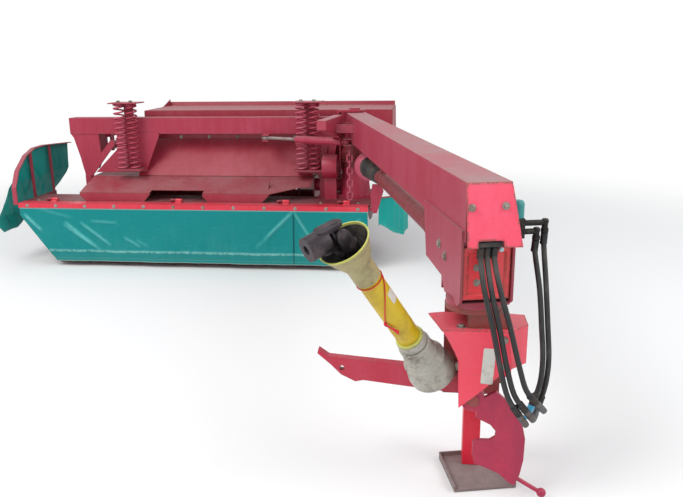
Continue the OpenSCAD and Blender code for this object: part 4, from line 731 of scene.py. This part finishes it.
# Drawbar: a welded box girder that swings on the fork's pin, with a slanting cap plate over its front
# end. Dust and a painted sky sheen pale its top, and a bright red cover plate on its cap leaves a slot
# for the hoses.
# Its upward film of 0.8 is dust and also the painted sheen of the sky on the drawbar's top.
bar_side = enamel("drawbar_enamel", (0.33, 0.022, 0.050), (0.37, 0.055, 0.090), rough=0.4, dust=0.8)
cap_red = enamel("cap_enamel", (0.84, 0.052, 0.105), (0.86, 0.10, 0.17), rough=0.32, dust=0.15, chips=0.7)
dress("drawbar", bar_side, 0.005)
dress("swing_lever neck", bar_side, 0.003)
bar_back = on_bar((0, 1, 0)) - on_bar((0, 0, 0))
cap_out = np.array((0, 0, 0.190)) - bar_back
cap_out /= np.linalg.norm(cap_out)
cap_slant, cap_v, cap_z = 0.1857, -3.956, 1.381


def on_cap(u, down):
    """A place on the slanting cap plate, u right of its middle and down below its upper edge."""
    return on_bar((u, cap_v - down * cap_slant, cap_z - down))


def slotted_cover():
    """The cap's cover plate: a grid on the cap's slanting plane whose right edge widens downwards, without
    the faces inside the slot for the hoses."""
    slot_u, slot_top, foot_z = 0.051, 1.1650, 1.1376
    spans, above_slot, beside_slot = 8, 29, 5
    z = np.linspace(1.3850, slot_top, above_slot + 1)
    z = np.append(z, np.linspace(slot_top, foot_z, beside_slot + 1)[1:])[:, None]
    right_edge = np.interp(z, (foot_z, 1.373, 1.380, 1.385), (0.125, 0.0895, 0.084, 0.078))
    stops = np.hstack((0 * z - 0.0935, 0 * z - slot_u, 0 * z + slot_u, right_edge))
    share = np.arange(3 * spans + 1) / spans
    k = np.minimum(share.astype(int), 2)
    u = stops[:, k] + (stops[:, k + 1] - stops[:, k]) * (share - k)
    v = cap_v - (cap_z - z) * cap_slant
    points = on_bar(np.stack(np.broadcast_arrays(u, v, z), -1)) + cap_out * 0.0008
    grid, faces, lay = skin(points)
    row, column = np.divmod(np.arange(len(faces)), 3 * spans)
    outside = (row < above_slot) | (column < spans) | (column >= 2 * spans)
    return grid, [faces[n] for n in np.flatnonzero(outside)], lay


cover = build("cap_cover", [slotted_cover()], cap_red, "drawbar")
cover_thick = 0.0026
thicken(cover, cover_thick, 1)
boot = moulded("boot_rubber", (0.012, 0.012, 0.013), dirty=0.7, rough=0.55)
clamp = rounded_box((-0.0488, -3.9880, 1.1380), (0.0488, -3.950, 1.159), 0.003, on_bar)
build("hose_clamp", [clamp], boot, "drawbar")
on_cover = cap_out * (cover_thick + 0.0008)
bar_bolts = bolts([on_cap(-0.074, 0.089) + on_cover, on_cap(0.058, 0.086) + on_cover], cap_out, 0.016)
bar_bolts += bolts(on_bar(((-0.1003, -3.60, 1.06), (-0.1003, -3.70, 1.03))), -bar_right, 0.024)
build("drawbar_bolts", bar_bolts, zinc, "drawbar")

# Neck: the plates that carry the headstock under the drawbar's end, with a cover plate pressed inwards
# on its front. The plate holds two bolts and a pale plug, and the neck's right side two more bolts.
def pressed_panel(low, high, front, rim=0.016, deep=0.007):
    """A plate with a raised rim, between two corners of u and z: a grid whose depth is 0 at its edges
    and falls by a smooth step to the pressed middle."""
    u = np.linspace(low[0], high[0], 60)[None]
    z = np.linspace(high[1], low[1], 60)[:, None]
    inside = np.minimum(np.minimum(u - low[0], high[0] - u), np.minimum(z - low[1], high[1] - z))
    sink = np.clip((inside - rim) / 0.008, 0, 1)
    v = front + deep * sink * sink * (3 - 2 * sink)
    return skin(on_bar(np.stack(np.broadcast_arrays(u, v, z), -1)))


panel_front = -3.9293
panel_red = enamel("panel_enamel", (0.76, 0.035, 0.042), (0.80, 0.07, 0.085), rough=0.33, dust=0.15,
                   chips=0.7)
plate = pressed_panel((-0.088, 0.910), (0.104, 1.125), panel_front)
panel = build("neck_panel", [plate], panel_red, "drawbar")
thicken(panel, 0.002, 1)
pressed = panel_front + 0.0067
panel_bolts = bolts(on_bar(((-0.030, pressed, 1.040), (-0.028, pressed, 0.978))), -bar_back, 0.016, 0.008)
on_side = on_bar(((neck_side + 0.0003, -3.736, 1.122), (neck_side + 0.0003, -3.918, 1.130)))
panel_bolts += bolts(on_side, bar_right, 0.018, 0.009)
plug = lathe([(0, 0), (0.009, 0), (0.010, 0.002), (0.010, 0.007), (0.008, 0.010), (0, 0.0105)],
             on_bar((0.0626, panel_front - 0.0003, 1.114)), -bar_back, 24)
build("panel_plug", [plug], moulded("pale_plug", (0.42, 0.66, 0.68), dirty=0.4), "drawbar")
build("neck_panel_bolts", panel_bolts, zinc, "drawbar")

# Drive line: under the drawbar a steel tube with its slip clutch in a pressed lens-shaped case, the
# ribbed rubber boot of a joint in front of it, and the upper gearbox on the pivot.
drive_at = on_bar((0.025, 0, 0.985))


def on_drive(profile, sides=48):
    """A profile of radius and distance in front of the pivot, turned round the drive line's axis."""
    return lathe(profile, drive_at, -bar_back, sides)


shell = [on_drive([(0, 0), (0.046, 0), (0.046, 0.645), (0, 0.645)]),
         on_drive([(0.040, 1.29), (0.048, 1.29), (0.048, 2.40), (0.0465, 2.402), (0.0465, 2.410),
                   (0.048, 2.412), (0.048, 3.6275), (0.040, 3.6275)])]
for far in (1.4, 3.0):
    shell.append(rounded_box((0.005, -far - 0.03, 1.026), (0.045, -far + 0.03, 1.1495), 0.004, on_bar))
    near, end = far - 0.028, far + 0.028
    shell.append(on_drive([(0.0482, near), (0.0525, near), (0.0525, end), (0.0482, end)]))
shell.append(rounded_box((-0.005, -0.300, 1.010), (0.055, -0.200, 1.1495), 0.004, on_bar))
gear_case = [(0, 0.8803), (0.118, 0.8803), (0.125, 0.888), (0.125, 0.940), (0.119, 0.946), (0.119, 0.958),
             (0.125, 0.964), (0.125, 1.030), (0.112, 1.046), (0.112, 1.100), (0.100, 1.1118), (0, 1.1118)]
shell.append(lathe(gear_case, pivot, (0, 0, 1), 56))
build("drive_tube", shell, dark, "drawbar", stands_for=["drive_line"])
lens = [(0, 0.640), (0.066, 0.640), (0.070, 0.645), (0.108, 0.660), (0.116, 0.672), (0.120, 0.690),
        (0.122, 0.700), (0.122, 0.718), (0.120, 0.728), (0.113, 0.752), (0.104, 0.769), (0.088, 0.785),
        (0, 0.785)]
build("clutch_case", [on_drive(lens, 72)], pink, "drawbar")
share = np.arange(0, 1.0001, 1 / 72)
ribs = 0.5 - 0.5 * np.cos(share * 2 * np.pi * 12)
boot_line = zip(0.090 - 0.032 * share - 0.007 * ribs, 0.786 + 0.500 * share)
boot_line = [(0, 0.786), *boot_line, (0.049, 1.2895), (0, 1.2895)]
build("joint_boot", [on_drive(boot_line, 56)], boot, "drawbar")

# Cylinders: steel barrels sprayed with the frame, whose edges are rounded here for a second time. The
# rod that lifts the wheels is kept bright by its oil; the one that swings the drawbar is dull.
bright_rod = metal("chromed_rod", (0.62, 0.62, 0.62), rough=0.12, stained=0.25)
dull_rod = metal("dull_rod", (0.30, 0.24, 0.235), rough=0.5, stains=(0.24, 0.13, 0.11), stained=1.0)
dress("lift_rod", bright_rod, 0.001)
dress("swing_rod", dull_rod, 0.001)
dress("swing_barrel lift_barrel", faded, 0.002)

# Headstock: a cast gearbox that swivels under the neck, rusty where its paint has gone, in a guard
# folded from sheet steel and bolted to it. The guard's front carries a blank sticker.
gearbox_paint = enamel("gearbox_paint", (0.30, 0.03, 0.035), (0.22, 0.075, 0.055), chips=1.6, rough=0.5)
guard_red = enamel("guard_enamel", (0.84, 0.045, 0.085), (0.86, 0.09, 0.14), rough=0.33, dust=0.25, chips=0.8)
dress("head_gearbox", gearbox_paint, 0.004)
dress("head_guard", guard_red, 0.0025)
guard_bolts = bolts(swivel + ((-0.050, -0.075, 0.7703), (0.030, -0.075, 0.7703)), (0, 0, 1), 0.022)
guard_bolts += bolts(swivel + ((0.120, -0.1223, 0.735), (0.128, -0.1223, 0.62)), (0, -1, 0), 0.018, 0.008)
build("guard_bolts", guard_bolts, zinc, "headstock")


def decal(place, along, up, wide, tall, corner=0.006):
    """A blank sticker: a flat grid whose points beyond a corner's quarter circle are drawn in to it."""
    along = np.asarray(along, float) / np.linalg.norm(along)
    up = np.asarray(up, float) / np.linalg.norm(up)
    u = np.linspace(-1, 1, 24)[:, None] * wide / 2
    w = np.linspace(-1, 1, 24)[None] * tall / 2
    du = np.clip(np.abs(u) - wide / 2 + corner, 0, None)
    dw = np.clip(np.abs(w) - tall / 2 + corner, 0, None)
    pull = np.maximum(np.hypot(du, dw) / corner, 1)
    u = np.sign(u) * (np.abs(u) - du + du / pull)
    w = np.sign(w) * (np.abs(w) - dw + dw / pull)
    return skin(np.asarray(place) + u[..., None] * along + w[..., None] * up)


paper = moulded("pale_sticker", (0.62, 0.60, 0.55), dirt=(0.25, 0.18, 0.14), rough=0.4, dirty=0.8)
blank = decal(swivel + (0.061, -0.1232, 0.618), (1, 0, -0.06), (0.06, 0, 1), 0.050, 0.158)
label = build("guard_sticker", [blank], paper, "headstock")
thicken(label, 0.0008, 1)

# Drive shaft: a grey moulded cone on the gearbox and a yellow plastic guard tube over the telescopic
# shaft, with a dirty bell at its free end, a collar at the other, and a greasy universal joint.
shaft_at = swivel + (-0.159, -0.020, 0.540)
shaft_way = np.array((-0.4043, -0.4570, 0.7923))
shaft_way /= np.linalg.norm(shaft_way)


def on_shaft(profile, sides=56):
    """A closed profile of radius and distance from the cone's foot, turned round the shaft's axis."""
    return lathe(profile, shaft_at, shaft_way, sides, loop=True)


grey = moulded("grey_cone_plastic", (0.42, 0.40, 0.345), dirt=(0.12, 0.085, 0.065), rough=0.45, dirty=0.9)
yellow = moulded("yellow_tube_plastic", (0.60, 0.41, 0.006), dirt=(0.24, 0.14, 0.03), rough=0.34, dirty=0.6)
pale = moulded("bell_plastic", (0.37, 0.32, 0.15), dirt=(0.17, 0.125, 0.08), rough=0.5, dirty=0.9)
lime = moulded("rim_plastic", (0.55, 0.56, 0.11), dirt=(0.30, 0.25, 0.12), rough=0.45, dirty=0.5)
cone = [(0.098, 0.000), (0.1055, 0.000), (0.1062, 0.004), (0.1062, 0.030), (0.1045, 0.036), (0.0905, 0.093),
        (0.0925, 0.096), (0.0925, 0.106), (0.0860, 0.110), (0.0735, 0.134), (0.0745, 0.138), (0.0745, 0.150),
        (0.0712, 0.154), (0.0675, 0.190), (0.0690, 0.194), (0.0690, 0.209), (0.0665, 0.212), (0.0503, 0.212),
        (0.0503, 0.200), (0.060, 0.196), (0.065, 0.135), (0.083, 0.092), (0.098, 0.028)]
bracket = rounded_box(swivel + (-0.074, -0.056, 0.565), swivel + (-0.0243, -0.026, 0.592), 0.003)
build("shaft_cone", [on_shaft(cone), bracket], grey, "headstock", stands_for=["pto_cone"])
tube_line = [(0.034, 0.190), (0.0500, 0.190), (0.0500, 0.330), (0.0508, 0.332), (0.0508, 0.346),
             (0.0500, 0.348), (0.0500, 0.728), (0.048, 0.7285), (0.045, 0.726), (0.045, 0.200),
             (0.034, 0.200)]
inner = [(0.0235, 0.670), (0.0470, 0.670), (0.0470, 0.690), (0.0235, 0.690)]
build("shaft_guard_tube", [on_shaft(tube_line), on_shaft(inner)], yellow, "headstock",
      stands_for=["pto_guard"])
bell = [(0.0503, 0.6400), (0.0530, 0.6400), (0.0535, 0.643), (0.0535, 0.700), (0.0550, 0.720),
        (0.0620, 0.738), (0.0720, 0.760), (0.0850, 0.792), (0.0960, 0.822), (0.0985, 0.830),
        (0.0950, 0.830), (0.0920, 0.820), (0.0800, 0.790), (0.0680, 0.762), (0.0560, 0.740), (0.0503, 0.736)]
rim_band = [(0.0955, 0.8303), (0.0990, 0.8303), (0.1015, 0.834), (0.1035, 0.838), (0.1030, 0.8398),
            (0.0985, 0.8398)]
liner = [(0.0480, 0.7380), (0.0560, 0.7415), (0.0680, 0.7635), (0.0800, 0.7915), (0.0920, 0.8215),
         (0.0955, 0.832), (0.0945, 0.832), (0.0910, 0.8225), (0.0790, 0.7925), (0.0670, 0.7645),
         (0.0550, 0.7435), (0.0480, 0.741)]
collar = [(0.0505, 0.2145), (0.0605, 0.2145), (0.0620, 0.217), (0.0620, 0.248), (0.0605, 0.2505),
          (0.0505, 0.2505)]
ring_above = [(0.0503, 0.2508), (0.0565, 0.2508), (0.0580, 0.2525), (0.0580, 0.262), (0.0565, 0.264),
              (0.0503, 0.264)]
build("shaft_bell", [on_shaft(bell, 64)], pale, "headstock")
build("shaft_bell_rim", [on_shaft(rim_band, 64), on_shaft(ring_above)], lime, "headstock")
build("shaft_bell_liner", [on_shaft(liner, 64)], boot, "headstock")
build("shaft_collar", [on_shaft(collar)], grey, "headstock")
greasy = metal("greasy_joint", (0.060, 0.050, 0.058), rough=0.35, stains=(0.10, 0.07, 0.075), stained=0.55)
dress("pto_yoke", greasy, 0.003)


def on_tube(angle, far, radius):
    """A place round the guard tube: so far up the shaft, at an angle in degrees and a radius."""
    across = np.cross(shaft_way, (0, 0, 1))
    across /= np.linalg.norm(across)
    over = np.cross(across, shaft_way)
    angle, far = np.broadcast_arrays(np.radians(angle), far)
    out = np.cos(angle)[..., None] * across + np.sin(angle)[..., None] * over
    return shaft_at + far[..., None] * shaft_way + radius * out


wrapped = on_tube(np.linspace(134, 178, 16)[:, None], np.linspace(0.492, 0.552, 12)[None], 0.0503)
sticker = build("tube_sticker", [skin(wrapped, flip=True)], paper, "headstock")
thicken(sticker, 0.0006, 1)

# Twine: a red baler twine, wrapped once and a half round the tube under the bell, whose loose end comes
# down across the tube's front to a knot with a short flat tail.
twine_red = moulded("red_twine", (0.62, 0.012, 0.03), dirty=0.15, rough=0.7)
around = np.append(np.linspace(-420, 96, 60), (120, 142, 164, 181, 196, 212, 228, 246, 264))
along = np.append(np.linspace(0.624, 0.632, 60),
                  (0.628, 0.616, 0.596, 0.574, 0.552, 0.524, 0.496, 0.460, 0.424))
strand = on_tube(around, along, 0.0535)
twine_d = 0.0045
twine = build("twine_strand", [tube(strand, twine_d / 2, 8)], twine_red, "headstock")
knot = [(0, 0), (0.004, 0.001), (0.0065, 0.005), (0.0068, 0.010), (0.005, 0.015), (0.003, 0.018), (0, 0.019)]
knot = lathe(knot, strand[-1] + (0, 0, 0.004), (0.1, 0, -1), 20)
far = np.linspace(0, 1, 16)[:, None]
across = np.linspace(-1, 1, 6)[None]
tail = (0.052 * far, 0.006 * np.sin(5 * far) * across, -0.030 * far - 0.006 * across)
tail = skin(np.stack(np.broadcast_arrays(*tail), -1) + strand[-1] + (0.002, 0, -0.010))
thicken(build("twine_knot", [knot, tail], twine_red, "headstock"), 0.0012)
float(distances(strand)[-1])

# Hitch: flame-cut plates on the headstock's pin, the pointed left arm and the hooked right arm with
# its locking pin and moulded knob.
hitch_red = enamel("hitch_enamel", (0.47, 0.014, 0.045), (0.50, 0.045, 0.085), rough=0.38, chips=1.0,
                   dust=0.3)
hook_red = enamel("hook_enamel", (0.33, 0.010, 0.055), (0.52, 0.02, 0.06), rough=0.36, chips=1.0, dust=0.2)
dress("hitch_bar", hitch_red, 0.003)
dress("hitch_hook", hook_red, 0.003)

# Stand: a square steel tube, sprayed bright red, that slides and pins in the headstock's sleeve. Its
# foot is folded from bare plate, which has rusted.
stand_red = enamel("stand_enamel", (0.74, 0.010, 0.040), (0.76, 0.035, 0.07), rough=0.36, dust=0.2)
dress("stand_leg", stand_red, 0.003)
foot_rust = enamel("foot_rust", (0.19, 0.145, 0.14), (0.28, 0.22, 0.21), rough=0.8, rust=(0.15, 0.075, 0.055))
dress("stand_foot", foot_rust, 0.003)

# Wheels: implement tyres with a block tread on pressed white rims, each held to its hub by eight nuts.
# They turn on the stub axles of the trailing arms, behind the mower.
rubber = moulded("tyre_rubber", (0.016, 0.016, 0.016), dirt=(0.13, 0.105, 0.085), rough=0.75, dirty=0.7)
rim_white = enamel("rim_white", (0.55, 0.55, 0.52), (0.62, 0.60, 0.55), rough=0.45, chips=1.2)
dress("rim_left rim_right", rim_white, 0.002)
axle_y, axle_z = 2.250, 0.422


def tyre(x):
    """A tyre's skin: its cross-section turned round the axle, where the tread's radius drops between
    blocks, a smooth wave of the angle shifted by how far across it lies, and in three grooves."""
    half, top, rim = 0.145, 0.422, 0.195
    wall = np.array(((rim + 0.0003, 0.031 - half), (rim + 0.024, 0.026 - half), (rim + 0.060, 0.006 - half),
                     (rim + 0.110, -half), (top - 0.080, 0.002 - half), (top - 0.048, 0.008 - half),
                     (top - 0.022, 0.018 - half), (top - 0.014, 0.026 - half), (top - 0.004, 0.040 - half)))
    tread = np.stack((np.full(37, top), np.linspace(0.052 - half, half - 0.052, 37)), 1)
    section = np.vstack((wall, tread, wall[::-1] * (1, -1)))
    shoulder = np.clip((section[:, 0] - (top - 0.05)) / 0.035, 0, 1)
    across = section[:, 1]
    aside = np.abs(across)
    turn = np.linspace(0, 2 * np.pi, 241)[:-1, None]
    blocks = np.clip(np.sin(30 * turn + 57.2 * aside) * 2.2 - 1.0, 0, 1)
    blocks = blocks * np.clip((aside - 0.020) / 0.012, 0, 1)
    grooves = np.exp(-((aside - 0.050) / 0.0055) ** 4) + np.exp(-(across / 0.005) ** 4)
    radius = section[:, 0] - 0.013 * shoulder * np.maximum(blocks, np.minimum(grooves, 1))
    points = np.broadcast_arrays(x + across, axle_y + radius * np.cos(turn), axle_z + radius * np.sin(turn))
    lay = np.broadcast_arrays(turn, across, radius)
    return skin(np.stack(points, -1), np.stack(lay, -1), around=True, loop=True, flip=True)


angles = np.radians(np.arange(0, 360, 45))
for hand, x, out in (("left", -1.2, -1), ("right", 1.2, 1)):
    build(f"tyre_{hand}_tread", [tyre(x)], rubber, f"wheel_{hand}",
          stands_for=[f"tyre_{hand}"])
    nuts = [(x + out * 0.0303, axle_y + 0.088 * math.cos(a), axle_z + 0.088 * math.sin(a)) for a in angles]
    build(f"rim_{hand}_nuts", bolts(nuts, (out, 0, 0), 0.024, 0.018), zinc, f"wheel_{hand}")


# The studio: a wide pale floor, a high soft sky that reads white to the camera and in what shines, and
# two large lamps, one high on the camera's left and a weaker one on its right.
def studio_floor():
    """Pale paint that turns, for the camera alone, into plain white with the distance from the machine, by
    a smooth S between 3.6 and 8 metres."""
    f = Finish("floor_paint")
    across, along, _ = f.axes(f.here)
    away = (across * across + along * along) ** 0.5
    shade = away.step(3.6, 8.0) * f.node("ShaderNodeLightPath", output="Is Camera Ray")
    painted = f.painted(Base_Color=(0.84, 0.84, 0.835), Roughness=0.9)
    white = f.node("ShaderNodeEmission", {}, {"Color": (1, 1, 1), "Strength": 1.0})
    return f.shown(f.node("ShaderNodeMixShader", {}, (shade, painted, white)))


floor_mesh = bpy.data.meshes.new("floor")
floor_corners = [(-60, -60, -0.001), (60, -60, -0.001), (60, 90, -0.001), (-60, 90, -0.001)]
floor_mesh.from_pydata(floor_corners, [], [(0, 1, 2, 3)])
floor_mesh.materials.append(studio_floor())
floor = bpy.data.objects.new("floor", floor_mesh)
bpy.context.scene.collection.objects.link(floor)

world = bpy.data.worlds.new("sky")
world.use_nodes = True
bpy.context.scene.world = world
tree = world.node_tree
sky = tree.nodes["Background"]
sky.inputs["Color"].default_value = (0.94, 0.97, 1.0, 1)
sky.inputs["Strength"].default_value = 0.72
white = tree.nodes.new("ShaderNodeBackground")
white.inputs["Color"].default_value = (1, 1, 1, 1)
rays = tree.nodes.new("ShaderNodeLightPath")
seen = tree.nodes.new("ShaderNodeMath")
seen.operation = "MAXIMUM"
tree.links.new(rays.outputs["Is Camera Ray"], seen.inputs[0])
tree.links.new(rays.outputs["Is Glossy Ray"], seen.inputs[1])
either = tree.nodes.new("ShaderNodeMixShader")
tree.links.new(seen.outputs[0], either.inputs[0])
tree.links.new(sky.outputs[0], either.inputs[1])
tree.links.new(white.outputs[0], either.inputs[2])
tree.links.new(either.outputs[0], tree.nodes["World Output"].inputs[0])
bpy.context.scene.view_settings.view_transform = "Standard"
for name, place, look, size, power in (
        ("key_lamp", (-3.5, -6.0, 7.5), (0.6, -0.6, 0.5), 5.0, 560),
        ("fill_lamp", (7.0, -4.0, 5.0), (1.8, -2.0, 0.6), 4.0, 180)):
    lamp = bpy.data.objects.new(name, bpy.data.lights.new(name, "AREA"))
    lamp.data.size = size
    lamp.data.energy = power
    back = np.subtract(place, look) / np.linalg.norm(np.subtract(place, look))
    across = np.cross((0, 0, 1), back)
    across /= np.linalg.norm(across)
    aim = np.eye(4)
    aim[:3, :3] = np.stack((across, np.cross(back, across), back), 1)
    aim[:3, 3] = lip_middle + place
    lamp.matrix_world = aim.T
    bpy.context.scene.collection.objects.link(lamp)
